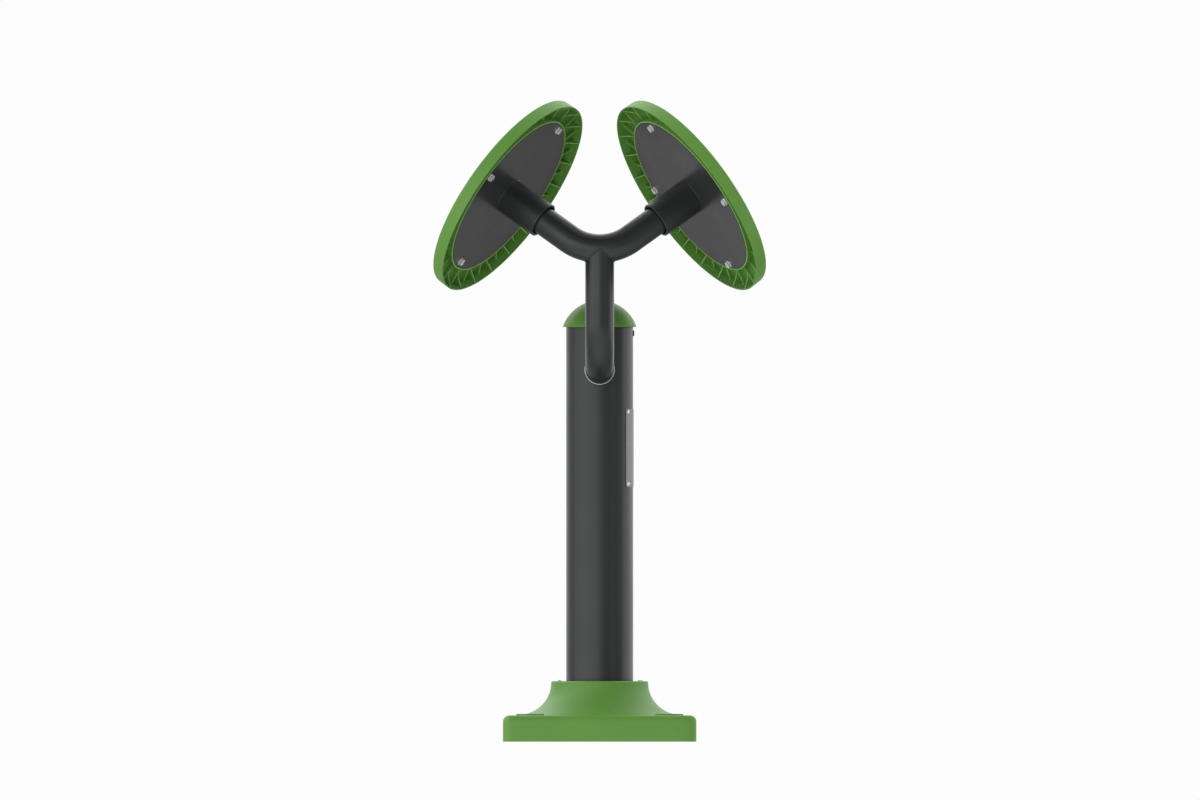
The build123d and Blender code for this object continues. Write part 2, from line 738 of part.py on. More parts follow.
def save(name, shape):
    """Writes one node."""
    solids = as_list(shape)
    node = solids[0] if len(solids) == 1 else Compound(children=solids)
    export_step(node, f"parts/{name}.step")


HUB_STILL = [axle, bearing_inner_rings, bearing_spacer, axle_washer, axle_nut]
HUB_ROLLING = [bearing_balls, ball_cages]
HUB_TURNING = [
    hub_sleeve,
    bearing_outer_rings,
    bearing_seals,
    dust_seal,
    disc_plate,
    disc_bolts,
    disc_washers,
    disc_inserts,
    disc,
]
FRAME_PIECES = [
    base_flange,
    flange_gussets,
    main_post,
    post_cap,
    cap_screw,
    cover_joint_straps,
    foot_cover_screws,
    anchor_plugs,
    info_plate,
    plate_rivets,
    arm_tube,
    yoke_tube,
]

os.makedirs("parts", exist_ok=True)

for make in FRAME_PIECES:
    save(make.__name__, make())

cover = foot_cover_shell()
save("foot_cover_front", cover_half(cover, -1))
save("foot_cover_rear", cover_half(cover, 1))

for make in HUB_STILL + HUB_ROLLING + HUB_TURNING:
    solids = as_list(make())
    for label, side, turn in (("left", -1, LEFT_TURN), ("right", 1, RIGHT_TURN)):
        place = hub_place(side) * Rot(0, 0, turn)
        save(f"{label}_{make.__name__}", [place * solid for solid in solids])
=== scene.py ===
import json
from math import radians

import bmesh
import bpy
import numpy as np
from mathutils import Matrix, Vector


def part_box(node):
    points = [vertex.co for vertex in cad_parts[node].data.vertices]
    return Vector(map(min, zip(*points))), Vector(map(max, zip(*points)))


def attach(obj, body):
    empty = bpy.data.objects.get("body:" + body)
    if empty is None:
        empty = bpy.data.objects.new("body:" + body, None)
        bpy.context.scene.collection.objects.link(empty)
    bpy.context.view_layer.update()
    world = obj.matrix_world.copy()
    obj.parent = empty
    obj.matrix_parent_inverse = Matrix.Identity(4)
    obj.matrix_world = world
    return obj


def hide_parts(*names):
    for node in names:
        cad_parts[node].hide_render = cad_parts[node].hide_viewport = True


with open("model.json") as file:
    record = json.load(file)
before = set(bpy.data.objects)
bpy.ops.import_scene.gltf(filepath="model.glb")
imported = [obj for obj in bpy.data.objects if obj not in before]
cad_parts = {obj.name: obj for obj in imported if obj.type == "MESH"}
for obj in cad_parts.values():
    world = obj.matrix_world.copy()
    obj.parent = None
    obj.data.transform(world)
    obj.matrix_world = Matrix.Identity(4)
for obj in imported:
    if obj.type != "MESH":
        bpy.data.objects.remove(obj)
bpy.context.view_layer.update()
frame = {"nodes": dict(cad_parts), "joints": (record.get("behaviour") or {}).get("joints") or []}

MM = 0.001


# Base flange and gussets
# A square plate with four anchor holes and four triangular braces, welded to the post. The foot
# cover hides them, so they show only from below. All are hot-dip galvanised, and so are the straps
# that join the halves of the cover.
ZINC_TONES = ((0.40, 0.41, 0.43), (0.62, 0.63, 0.64))
ZINC_ROUGH = 0.4
ZINC_METAL = 0.9
ZINC_GLOSS = (0.3, 0.55)
SPANGLE_SCALE = 90.0
SPANGLE_DEPTH = 0.03 * MM


def feed(tree, node, inputs):
    """Gives inputs of a node, by name or number, a value or a link from another node's output. Colours
    are opaque."""
    for key, value in inputs.items():
        socket = node.inputs[key]
        if isinstance(value, bpy.types.NodeSocket):
            tree.links.new(value, socket)
        else:
            socket.default_value = (*value, 1) if socket.type == "RGBA" else value


def plain_material(name, colour, roughness, metallic=0.0):
    """A material whose shader holds the plain colour, roughness and metal."""
    made = bpy.data.materials.new(name)
    made.use_nodes = True
    shader = made.node_tree.nodes["Principled BSDF"]
    feed(made.node_tree, shader, {"Base Color": colour, "Roughness": roughness, "Metallic": metallic})
    return made


def add_node(tree, kind, inputs=None, **settings):
    """A new node with its settings and what goes into it."""
    node = tree.nodes.new(kind)
    for key, value in settings.items():
        setattr(node, key, value)
    feed(tree, node, inputs or {})
    return node


def two_tone(tree, mask, first, second):
    """Colour that runs from the first to the second as the mask goes from 0 to 1. Each is a tone or
    another node's output."""
    mix = add_node(tree, "ShaderNodeMix", {"Factor": mask, "A": first, "B": second}, data_type="RGBA")
    return mix.outputs["Result"]


def ranged(tree, mask, low, high):
    """A value that runs from low to high as the mask goes from 0 to 1."""
    node = add_node(tree, "ShaderNodeMapRange", {"Value": mask, "To Min": low, "To Max": high})
    return node.outputs["Result"]


def relief(tree, height, depth):
    """The normal of a surface with bumps of the given depth in metres."""
    node = add_node(tree, "ShaderNodeBump", {"Height": height, "Distance": depth})
    return node.outputs["Normal"]


def surfaced(tree, masks, tones, gloss, depth):
    """Joins three masks to the shader: one mixes the two tones, one the two limits of the roughness,
    and one is the height of the relief."""
    tone_mask, gloss_mask, height = masks
    feed(tree, tree.nodes["Principled BSDF"], {
        "Base Color": two_tone(tree, tone_mask, *tones),
        "Roughness": ranged(tree, gloss_mask, *gloss),
        "Normal": relief(tree, height, depth),
    })


def zinc_spangle(name):
    """Galvanised steel: flat crystals, each with its own grey and gloss."""
    made = plain_material(name, ZINC_TONES[1], ZINC_ROUGH, ZINC_METAL)
    tree = made.node_tree
    place = add_node(tree, "ShaderNodeTexCoord")
    spread = {"Vector": place.outputs["Object"], "Scale": SPANGLE_SCALE}
    cells = add_node(tree, "ShaderNodeTexVoronoi", spread)
    split = add_node(tree, "ShaderNodeSeparateColor", {"Color": cells.outputs["Color"]})
    masks = (split.outputs["Red"], split.outputs["Green"], cells.outputs["Distance"])
    surfaced(tree, masks, ZINC_TONES, ZINC_GLOSS, SPANGLE_DEPTH)
    return made


def dress(made, *nodes):
    """Gives solids of the frame their finish."""
    for name in nodes:
        mesh = frame["nodes"][name].data
        mesh.materials.clear()
        mesh.materials.append(made)


galvanised = zinc_spangle("galvanised_steel")
dress(galvanised, "base_flange", "flange_gussets", "cover_joint_straps")


# Post
# A round steel tube, welded to the flange, with an anthracite powder coat that keeps the fine
# orange-peel skin of baked powder.
COAT_TONES = ((0.017, 0.0205, 0.0215), (0.0145, 0.0175, 0.0185))
COAT_GLOSS = (0.27, 0.34)
COAT_PEEL_SCALE = 520.0
COAT_PEEL_DEPTH = 0.045 * MM
COAT_DRIFT_SCALE = 9.0
GRAIN_DETAIL = 2.0
DRIFT_DETAIL = 5.0
DRIFT_SPAN = (0.3, 0.7)
POST_WALL = 4.0 * MM
POST_EDGE = 0.8 * MM
POST_SEGMENTS = 192
SAME_POINT = 0.001 * MM
SHARP_ANGLE = 38.0
ARC_STEPS = 6
ARC_SUPPORT = 0.6 * MM


def eased(tree, value, low, high):
    """0 to 1, smoothly, as the value goes from low to high."""
    span = {"Value": value, "From Min": low, "From Max": high}
    node = add_node(tree, "ShaderNodeMapRange", span, interpolation_type="SMOOTHSTEP")
    return node.outputs["Result"]


def grain_group():
    """Fine relief and slow drift of tone: two noises, one at the grain's scale and one much wider."""
    group = bpy.data.node_groups.new("surface_grain", "ShaderNodeTree")
    sockets = group.interface
    sockets.new_socket("Vector", in_out="INPUT", socket_type="NodeSocketVector")
    for name, way in (("Grain", "INPUT"), ("Drift", "INPUT"), ("Height", "OUTPUT"), ("Tone", "OUTPUT")):
        sockets.new_socket(name, in_out=way, socket_type="NodeSocketFloat")
    start = group.nodes.new("NodeGroupInput")
    end = group.nodes.new("NodeGroupOutput")
    place, grain, drift = (start.outputs[name] for name in ("Vector", "Grain", "Drift"))
    fine = add_node(group, "ShaderNodeTexNoise", {"Vector": place, "Scale": grain, "Detail": GRAIN_DETAIL})
    wide = add_node(group, "ShaderNodeTexNoise", {"Vector": place, "Scale": drift, "Detail": DRIFT_DETAIL})
    tone = eased(group, wide.outputs["Fac"], *DRIFT_SPAN)
    feed(group, end, {"Height": fine.outputs["Fac"], "Tone": tone})
    return group


surface_grain = grain_group()


def grained(made, grain, drift, depth, tones, gloss):
    """Adds grain to a material: drift mixes the two tones and the two roughness limits."""
    tree = made.node_tree
    place = add_node(tree, "ShaderNodeTexCoord")
    scales = {"Vector": place.outputs["Object"], "Grain": grain, "Drift": drift}
    group = add_node(tree, "ShaderNodeGroup", node_tree=surface_grain, inputs=scales)
    masks = (group.outputs["Tone"], group.outputs["Tone"], group.outputs["Height"])
    surfaced(tree, masks, tones, gloss, depth)
    return made


def powder_coat(name, tones, gloss):
    """Baked powder coat: a slight peel and a faint drift of tone and gloss."""
    made = plain_material(name, tones[0], gloss[0])
    return grained(made, COAT_PEEL_SCALE, COAT_DRIFT_SCALE, COAT_PEEL_DEPTH, tones, gloss)


def quads(rows, cols, wrap_rows, wrap_cols, first):
    """Corner numbers of the quads on a grid of points, closed round where asked."""
    row = np.arange(rows if wrap_rows else rows - 1)
    col = np.arange(cols if wrap_cols else cols - 1)
    row, col = np.meshgrid(row, col, indexing="ij")
    next_row = (row + 1) % rows
    next_col = (col + 1) % cols
    corners = [row * cols + col, next_row * cols + col, next_row * cols + next_col, row * cols + next_col]
    return np.stack(corners, axis=-1).reshape(-1, 4) + first


def joined(*columns):
    """Points from their columns of coordinates. A single number stands for a whole column."""
    return np.stack(np.broadcast_arrays(*columns), axis=-1)


def placed(name, data):
    """A new object in the scene that shows the data, at the origin."""
    made = bpy.data.objects.new(name, data)
    bpy.context.scene.collection.objects.link(made)
    return made


def make_piece(name, patches, finish, body, sharp=SHARP_ANGLE, marks=None):
    """One closed object from patches (grid of points, rows closed round, columns closed round). The
    painted highlight marks, one grid of shares per patch, go into the U value of the object's own map."""
    points = []
    faces = []
    first = 0
    for grid, wrap_rows, wrap_cols in patches:
        rows, cols = grid.shape[:2]
        points.append(grid.reshape(-1, 3))
        faces.append(quads(rows, cols, wrap_rows, wrap_cols, first))
        first += rows * cols
    mesh = bpy.data.meshes.new(name)
    mesh.from_pydata(np.concatenate(points).tolist(), [], np.concatenate(faces).tolist())
    if marks is not None:
        highlight_share = np.concatenate([grid.ravel() for grid in marks])[np.concatenate(faces).ravel()]
        place = joined(highlight_share, 0).astype(np.float32)
        mesh.uv_layers.new(name="marks").data.foreach_set("uv", place.ravel())
    work = bmesh.new()
    work.from_mesh(mesh)
    bmesh.ops.remove_doubles(work, verts=work.verts, dist=SAME_POINT)
    bmesh.ops.recalc_face_normals(work, faces=work.faces)
    work.to_mesh(mesh)
    work.free()
    mesh.shade_smooth()
    mesh.set_sharp_from_angle(angle=radians(sharp))
    mesh.materials.append(finish)
    made = placed(name, mesh)
    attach(made, body)
    return made


def outline(corners, radii, steps=ARC_STEPS, support=ARC_SUPPORT):
    """An open outline with round corners: each arc is tangent to its two sides, and a point just
    beyond each end of the arc keeps the shading of the flats flat."""
    points = [np.array(corners[0], float)]
    for before, corner, after, radius in zip(corners[:-2], corners[1:-1], corners[2:], radii):
        before, corner, after = (np.array(p, float) for p in (before, corner, after))
        back = (before - corner) / np.linalg.norm(before - corner)
        ahead = (after - corner) / np.linalg.norm(after - corner)
        if radius == 0:
            points.append(corner)
            continue
        half = np.arccos(np.clip(back @ ahead, -1, 1)) / 2
        reach = radius / np.tan(half)
        middle = corner + (back + ahead) / np.linalg.norm(back + ahead) * radius / np.sin(half)
        start = corner + back * reach - middle
        end = corner + ahead * reach - middle
        turn = np.arctan2(start[0] * end[1] - start[1] * end[0], start @ end)
        angle = np.linspace(0, turn, steps + 1)[:, None]
        arc = middle + start * np.cos(angle) + np.array([-start[1], start[0]]) * np.sin(angle)
        points += [corner + back * (reach + support), *arc, corner + ahead * (reach + support)]
    points.append(np.array(corners[-1], float))
    return np.array(points)


def full_turn(segments):
    """Angles evenly round a circle, without the last one, which is the first again."""
    return np.linspace(0, 2 * np.pi, segments, endpoint=False)


def around(radius, angle, height):
    """Points at a distance from the Z axis, an angle round it and a height."""
    return joined(radius * np.cos(angle), radius * np.sin(angle), height)


def turned(profile, segments):
    """A profile of (radius, height) carried round the Z axis."""
    return around(profile[:, :1], full_turn(segments), profile[:, 1:])


anthracite = powder_coat("anthracite_coat", COAT_TONES, COAT_GLOSS)

post_low, post_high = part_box("main_post")
POST_R = (post_high.x - post_low.x) / 2
POST_BORE_R = POST_R - POST_WALL
post_outline = outline(
    [
        (POST_R, post_low.z),
        (POST_R, post_high.z),
        (POST_BORE_R, post_high.z),
        (POST_BORE_R, post_low.z),
        (POST_R, post_low.z),
    ],
    [POST_EDGE, POST_EDGE, 0],
)
post = make_piece("post_tube", [(turned(post_outline, POST_SEGMENTS), True, True)], anthracite,
                  "station_frame")
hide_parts("main_post")


# Foot cover
# Two moulded halves in green plastic that clip round the post and stand on the ground: a square
# shoulder with a soft edge, a concave flare and a short round bell. The seam runs along X.
GREEN_TONES = ((0.121, 0.306, 0.046), (0.110, 0.283, 0.041))
GREEN_GLOSS = (0.42, 0.52)
GREEN_SHEEN = 0.42
GREEN_GRAIN_SCALE = 1500.0
GREEN_GRAIN_DEPTH = 0.03 * MM
GREEN_DRIFT_SCALE = 6.0
COVER_WALL = 4.0 * MM
COVER_CORNER_R = 18.0 * MM
COVER_EDGE_R = 13.0 * MM
COVER_SHOULDER_Z = 55.0 * MM
COVER_POST_GAP = 0.6 * MM
BELL_R = 101.2 * MM
BELL_EDGE_R = 3.5 * MM
BELL_STRAIGHT = 0.5 * MM
FLARE_END_R = 174.06 * MM
FLARE_STEPS = 28
EDGE_STEPS = 10
TOP_STEPS = 6
SIDE_POINTS = 18
CORNER_POINTS = 14


def moulded_plastic(name, tones, gloss):
    """Injection-moulded plastic: a fine spark-eroded grain and a faint drift of tone."""
    made = plain_material(name, tones[0], gloss[0])
    made.node_tree.nodes["Principled BSDF"].inputs["Specular IOR Level"].default_value = GREEN_SHEEN
    return grained(made, GREEN_GRAIN_SCALE, GREEN_DRIFT_SCALE, GREEN_GRAIN_DEPTH, tones, gloss)


def half_square(half, corner):
    """Points and outward normals along half of a square with round corners, from its +X side over
    the +Y side to the -X side: straight runs joined by quarter circles."""
    flat = half - corner
    rise = np.linspace(0, flat, SIDE_POINTS)
    arc = np.linspace(0, np.pi / 2, CORNER_POINTS)[1:-1]
    across = np.linspace(flat, -flat, 2 * SIDE_POINTS)
    quarter = joined(flat + corner * np.cos(arc), flat + corner * np.sin(arc))
    side = joined(half, rise)
    top = joined(across, half)
    mirror = np.array([-1.0, 1.0])
    points = [side, quarter, top, (quarter * mirror)[::-1], (side * mirror)[::-1]]
    quarter_out = joined(np.cos(arc), np.sin(arc))
    side_out = np.tile([1.0, 0.0], (SIDE_POINTS, 1))
    top_out = np.tile([0.0, 1.0], (2 * SIDE_POINTS, 1))
    normals = [side_out, quarter_out, top_out, (quarter_out * mirror)[::-1], side_out * mirror]
    return np.concatenate(points), np.concatenate(normals)


def cover_levels(inset, half, top_z):
    """Rows of one skin of the cover, from the post's opening down to the ground: circles on the bell
    and along a quarter ellipse for the flare, then the square drawn in less and less over its edge."""
    square, out = half_square(half, COVER_CORNER_R)
    polar = np.arctan2(square[:, 1], square[:, 0])
    flare_z = top_z - COVER_WALL - BELL_STRAIGHT
    shoulder_z = COVER_SHOULDER_Z - inset
    edge = max(BELL_EDGE_R - inset, 0)
    turn = np.linspace(0, np.pi / 2, TOP_STEPS)
    bell_r = BELL_R - inset
    rounding_r = bell_r - edge + edge * np.sin(turn)
    rounding = joined(rounding_r, top_z - inset - edge + edge * np.cos(turn))
    sweep = np.linspace(0, np.pi / 2, FLARE_STEPS)
    flare_r = FLARE_END_R - (FLARE_END_R - bell_r) * np.cos(sweep)
    flare = joined(flare_r, flare_z - (flare_z - shoulder_z) * np.sin(sweep))
    opening = np.array([[POST_R + COVER_POST_GAP, top_z - inset]])
    circles = np.concatenate([opening, rounding, flare])
    rows = [around(radius, polar, z) for radius, z in circles]
    soft = COVER_EDGE_R - inset
    for angle in np.linspace(0, np.pi / 2, EDGE_STEPS):
        drawn_in = inset + soft * (1 - np.sin(angle))
        z = shoulder_z - soft + soft * np.cos(angle)
        rows.append(joined(*(square - drawn_in * out).T, z))
    rows.append(joined(*(square - inset * out).T, 0))
    return np.array(rows)


def sheet(skins):
    """Patches of a sheet from its two skins: both of them, joined along their first and last rows, and
    a strip along each side."""
    patches = [(np.concatenate([skins[0], skins[1][::-1]]), True, False)]
    return patches + [(np.stack([skin[:, column] for skin in skins]), False, False) for column in (0, -1)]


def cover_half(name, node, side, seam):
    """Both skins of a half, closed at the opening, the ground and the two seam faces."""
    low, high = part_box(node)
    half = (high.x - low.x) / 2
    skins = [cover_levels(inset, half, high.z) for inset in (0, COVER_WALL)]
    for skin in skins:
        skin[..., 1] = np.maximum(skin[..., 1], seam / 2)
        skin[..., :2] *= side
    made = make_piece(name, sheet(skins), green, "station_frame")
    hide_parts(node)


green = moulded_plastic("green_plastic", GREEN_TONES, GREEN_GLOSS)
COVER_SEAM = 2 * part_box("foot_cover_rear")[0].y
cover_half("foot_cover_front_half", "foot_cover_front", -1, COVER_SEAM)
cover_half("foot_cover_rear_half", "foot_cover_rear", 1, COVER_SEAM)


# Cover screws
# Four zinc-plated pan-head screws with a hexagon socket, two each side of the post, which pull
# the halves of the cover to a steel strap under the bell's top face.
SCREW_TONES = ((0.88, 0.88, 0.87), (0.80, 0.80, 0.80))
SCREW_GLOSS = (0.22, 0.32)
SCREW_METAL = 0.62
TARNISH_GRAIN = (900.0, 120.0, 0.01 * MM)
SCREW_HEAD_R = 6.2 * MM
SCREW_HEAD_H = 2.5 * MM
HEAD_FLAT_SHARE = 0.45
HEAD_SIDE_SHARE = 0.25
HEAD_STEPS = 8
SCREW_SHANK_R = 2.5 * MM
SCREW_SHANK = 10.0 * MM
SCREW_SOCKET_R = 2.1 * MM
SCREW_SOCKET_DEPTH = 1.5 * MM
SCREW_X = 86.0 * MM
SCREW_Y = 14.0 * MM
SCREW_SEGMENTS = 48


def plated_metal(name, tones, gloss, metal=1.0):
    """Plated or bare metal with a faint cloudy tarnish."""
    made = plain_material(name, tones[0], gloss[0], metal)
    return grained(made, *TARNISH_GRAIN, tones, gloss)


def hexagon_reach(angle):
    """Distance from the middle of a hexagon to its side, for a unit width from the middle to a flat."""
    sixth = np.pi / 3
    return 1 / np.cos((angle + sixth / 2) % sixth - sixth / 2)


def socket_screw(head_r, head_h, shank):
    """A round-topped head with a hexagon socket, on a shank: rows of circles and hexagons from the
    bottom of the socket over the head to the tip. The head's underside is at height 0."""
    angle = full_turn(SCREW_SEGMENTS)
    hexagon = SCREW_SOCKET_R * hexagon_reach(angle)
    floor_z = head_h - SCREW_SOCKET_DEPTH
    flat_r = HEAD_FLAT_SHARE * head_r
    rows = [(0.0, floor_z), (hexagon, floor_z), (hexagon, head_h)]
    for turn in np.linspace(0, np.pi / 2, HEAD_STEPS):
        height = head_h * (HEAD_SIDE_SHARE + (1 - HEAD_SIDE_SHARE) * np.cos(turn))
        rows.append((flat_r + (head_r - flat_r) * np.sin(turn), height))
    rows += [(head_r, 0.0), (SCREW_SHANK_R, 0.0), (SCREW_SHANK_R, -shank), (0.0, -shank)]
    return np.array([around(radius, angle, height) for radius, height in rows])


def moved(grid, x, y, z):
    """A grid shifted in the frame."""
    return grid + np.array([x, y, z])


def at_corners(grid, x, y, z):
    """Patches of four copies of a grid, at the corners of a rectangle round the post."""
    return [(moved(grid, at_x, at_y, z), False, True) for at_x in (-x, x) for at_y in (-y, y)]


zinc = plated_metal("zinc_plating", SCREW_TONES, SCREW_GLOSS, SCREW_METAL)
cover_screw = socket_screw(SCREW_HEAD_R, SCREW_HEAD_H, SCREW_SHANK)
BELL_TOP_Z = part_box("foot_cover_front")[1].z
screw_patches = at_corners(cover_screw, SCREW_X, SCREW_Y, BELL_TOP_Z)
cover_screws = make_piece("cover_pan_screws", screw_patches, zinc, "station_frame")
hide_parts("foot_cover_screws")


# Anchor plugs
# Round green caps pushed into the corners of the cover, so that the anchor nuts can be reached.
# Each has a shallow dish in its top and a hollow spigot that grips the cover's hole.
PLUG_EDGE_R = 1.2 * MM
PLUG_DISH_EDGE_R = 0.4 * MM
PLUG_LIP_R = 0.3 * MM
PLUG_SUPPORT = 0.2 * MM
PLUG_DISH_DEPTH = 0.6 * MM
PLUG_DISH_R = 23.0 * MM
PLUG_SPIGOT_R = 24.7 * MM
PLUG_SPIGOT_WALL = 2.0 * MM
PLUG_SPIGOT_EDGE_R = 0.4 * MM
PLUG_R = 29.0 * MM
PLUG_SEGMENTS = 96

plug_low, plug_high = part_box("anchor_plugs")
plug_place = plug_high.x - PLUG_R
plug_dish_z = plug_high.z - PLUG_DISH_DEPTH
plug_outline = outline(
    [
        (0, plug_dish_z),
        (PLUG_DISH_R, plug_dish_z),
        (PLUG_DISH_R + PLUG_DISH_DEPTH, plug_high.z),
        (PLUG_R, plug_high.z),
        (PLUG_R, COVER_SHOULDER_Z),
        (PLUG_SPIGOT_R, COVER_SHOULDER_Z),
        (PLUG_SPIGOT_R, plug_low.z),
        (PLUG_SPIGOT_R - PLUG_SPIGOT_WALL, plug_low.z),
        (PLUG_SPIGOT_R - PLUG_SPIGOT_WALL, COVER_SHOULDER_Z),
        (0, COVER_SHOULDER_Z),
    ],
    [PLUG_DISH_EDGE_R, PLUG_LIP_R, PLUG_EDGE_R, 0, 0, PLUG_SPIGOT_EDGE_R, PLUG_SPIGOT_EDGE_R, 0],
    support=PLUG_SUPPORT,
)
plug_patches = at_corners(turned(plug_outline, PLUG_SEGMENTS), plug_place, plug_place, 0)
plugs = make_piece("anchor_access_plugs", plug_patches, green, "station_frame")
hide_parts("anchor_plugs")


# Hooked arm and V yoke
# Two lengths of the same steel tube. The arm leaves the post level and turns straight up; the
# yoke is bent to a V and sits in a saddle cut in the arm's end. Both are coated like the post.
TUBE_WALL = 3.2 * MM
BEND_R = 100.0 * MM
ARM_ROOT_Z = 775.0 * MM
SADDLE_Z = 1027.0 * MM
TUBE_SEGMENTS = 128
BEND_STEPS = 40
STRAIGHT_SHARES = (0.04, 0.3, 0.6, 0.96)
HALVINGS = 40
ARM_SHARP_ANGLE = 18.0
YOKE_END_BACK = 69.4 * MM
SIDES = ("left", "right")

joint = {entry["name"]: entry for entry in frame["joints"]}
hinge = {side: joint[f"{side}_disc_spin"] for side in SIDES}
arm_dir = {side: np.array(hinge[side]["axis"]) for side in SIDES}
arm_low, arm_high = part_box("arm_tube")
TUBE_R = (arm_high.x - arm_low.x) / 2
ARM_Y = arm_low.y + TUBE_R
tube_ring = full_turn(TUBE_SEGMENTS)


def arm_rows(radius):
    """The arm's skin: a ring on the post's surface, a quarter turn about X, a ring under the yoke.
    The end rings follow the post's cylinder and the yoke's round, so that each end is a saddle."""
    side = radius * np.cos(tube_ring)
    away = radius * np.sin(tube_ring)
    root = joined(side, -np.sqrt(POST_R**2 - side**2), ARM_ROOT_Z + away)
    turn = np.linspace(0, np.pi / 2, BEND_STEPS)[:, None]
    reach = BEND_R - away
    bend_y = ARM_Y + BEND_R - reach * np.sin(turn)
    bend_z = ARM_ROOT_Z + BEND_R - reach * np.cos(turn)
    bend = joined(side, bend_y, bend_z)
    tip = joined(side, ARM_Y + away, saddle_height(side, ARM_Y + away))
    share = np.array(STRAIGHT_SHARES)[:, None, None]
    stub = root + (bend[0] - root) * share
    riser = bend[-1] + (tip - bend[-1]) * share
    return np.concatenate([root[None], stub, bend, riser, tip[None]])


def yoke_plane():
    """Corner of the V, middle of its bend, its upward line and its normal, from the arms' axes."""
    upward = arm_dir["left"] + arm_dir["right"]
    upward = upward / np.linalg.norm(upward)
    half_sine = arm_dir["right"][0]
    saddle = np.array([0.0, ARM_Y, SADDLE_Z])
    corner = saddle - upward * BEND_R * (1 / half_sine - 1)
    return corner, saddle + upward * BEND_R, upward, np.cross([1.0, 0.0, 0.0], upward)


YOKE_CORNER, YOKE_CENTRE, YOKE_UP, YOKE_NORMAL = yoke_plane()


def saddle_height(x, y):
    """Height at which an upright line meets the underside of the yoke's bend: the bend is a ring,
    and the height is halved in on where the distance to the ring's middle equals the tube's radius."""
    low = np.full_like(x, SADDLE_Z - 2 * TUBE_R)
    high = np.full_like(x, SADDLE_Z)
    for _ in range(HALVINGS):
        middle = (low + high) / 2
        place = joined(x, y, middle) - YOKE_CENTRE
        ring = np.hypot(place[..., 0], place @ YOKE_UP) - BEND_R
        outside = np.hypot(ring, place @ YOKE_NORMAL) > TUBE_R
        low = np.where(outside, middle, low)
        high = np.where(outside, high, middle)
    return low


def yoke_rows(radius):
    """The yoke's skin: a round section carried along the left arm, the bend and the right arm."""
    across = np.array([1.0, 0.0, 0.0])
    half_turn = np.arccos(arm_dir["right"][0])
    turn = np.linspace(-half_turn, half_turn, 2 * BEND_STEPS)
    bend = YOKE_CENTRE + BEND_R * (np.outer(np.sin(turn), across) - np.outer(np.cos(turn), YOKE_UP))
    inward = np.outer(-np.sin(turn), across) + np.outer(np.cos(turn), YOKE_UP)
    ends = {side: YOKE_CORNER + arm_dir[side] * ARM_LENGTH for side in SIDES}
    path = np.concatenate([ends["left"][None], bend, ends["right"][None]])
    inward = np.concatenate([inward[:1], inward, inward[-1:]])
    round_out = np.cos(tube_ring)[:, None] * inward[:, None] + np.sin(tube_ring)[:, None] * YOKE_NORMAL
    return path[:, None] + radius * round_out


def tube(rows):
    """Patch of a whole tube: its outer skin, and its bore back again."""
    return np.concatenate([rows(TUBE_R), rows(TUBE_R - TUBE_WALL)[::-1]]), True, True


ARM_LENGTH = np.linalg.norm(np.array(hinge["right"]["pos_m"]) - YOKE_CORNER) - YOKE_END_BACK
arm = make_piece("hooked_arm_tube", [tube(arm_rows)], anthracite, "station_frame",
                 sharp=ARM_SHARP_ANGLE)
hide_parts("arm_tube")
yoke = make_piece("v_yoke_tube", [tube(yoke_rows)], anthracite, "station_frame")
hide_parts("yoke_tube")


# Weld beads
# Fillet welds where the arm meets the post and the yoke, laid as overlapping drops. The one on
# the post has a pale grey colour, a painted highlight, that shows as a thin pale line.
WELD_HIGHLIGHT_GREY = (0.66, 0.66, 0.65)
WELD_ROUGH = 0.45
WELD_METAL = 0.3
ROOT_BEAD_R = 1.2 * MM
SADDLE_BEAD_R = 1.6 * MM
DROP_PITCH = 4.2 * MM
DROP_SWELL = 0.10
BEAD_SIDES = 14
BEAD_STEPS = 720
BEAD_SHARP_ANGLE = 60.0


def weld_bead(curve, radius):
    """A round bead along a closed curve, whose radius swells and falls once for each drop."""
    ahead = np.roll(curve, -1, axis=0)
    along = ahead - np.roll(curve, 1, axis=0)
    along = along / np.linalg.norm(along, axis=1, keepdims=True)
    run = np.concatenate([[0], np.cumsum(np.linalg.norm(ahead - curve, axis=1))])
    drops = round(run[-1] / DROP_PITCH)
    phase = run[:-1] / run[-1] * drops % 1
    swell = radius * (1 + DROP_SWELL * np.sqrt(1 - phase**2) - DROP_SWELL / 2)
    middle = curve.mean(axis=0)
    outward = curve - middle
    outward = outward - (outward * along).sum(axis=1, keepdims=True) * along
    outward = outward / np.linalg.norm(outward, axis=1, keepdims=True)
    upward = np.cross(along, outward)
    angle = full_turn(BEAD_SIDES)[:, None]
    section = np.cos(angle) * outward[:, None] + np.sin(angle) * upward[:, None]
    return curve[:, None] + swell[:, None, None] * section


bead_ring = full_turn(BEAD_STEPS)
bead_side = TUBE_R * np.cos(bead_ring)
bead_away = TUBE_R * np.sin(bead_ring)
root_curve = joined(bead_side, -np.sqrt(POST_R**2 - bead_side**2), ARM_ROOT_Z + bead_away)
saddle_y = ARM_Y - bead_away
saddle_curve = joined(bead_side, saddle_y, saddle_height(bead_side, saddle_y))
root_bead = weld_bead(root_curve, ROOT_BEAD_R)
saddle_bead = weld_bead(saddle_curve, SADDLE_BEAD_R)
# The root weld's pale grey is a painted highlight.
highlight_weld_metal = plain_material("painted_highlight_weld", WELD_HIGHLIGHT_GREY, WELD_ROUGH, WELD_METAL)
make_piece("arm_root_weld", [(root_bead, True, True)], highlight_weld_metal, "station_frame",
           sharp=BEAD_SHARP_ANGLE)
make_piece("yoke_saddle_weld", [(saddle_bead, True, True)], anthracite, "station_frame",
           sharp=BEAD_SHARP_ANGLE)


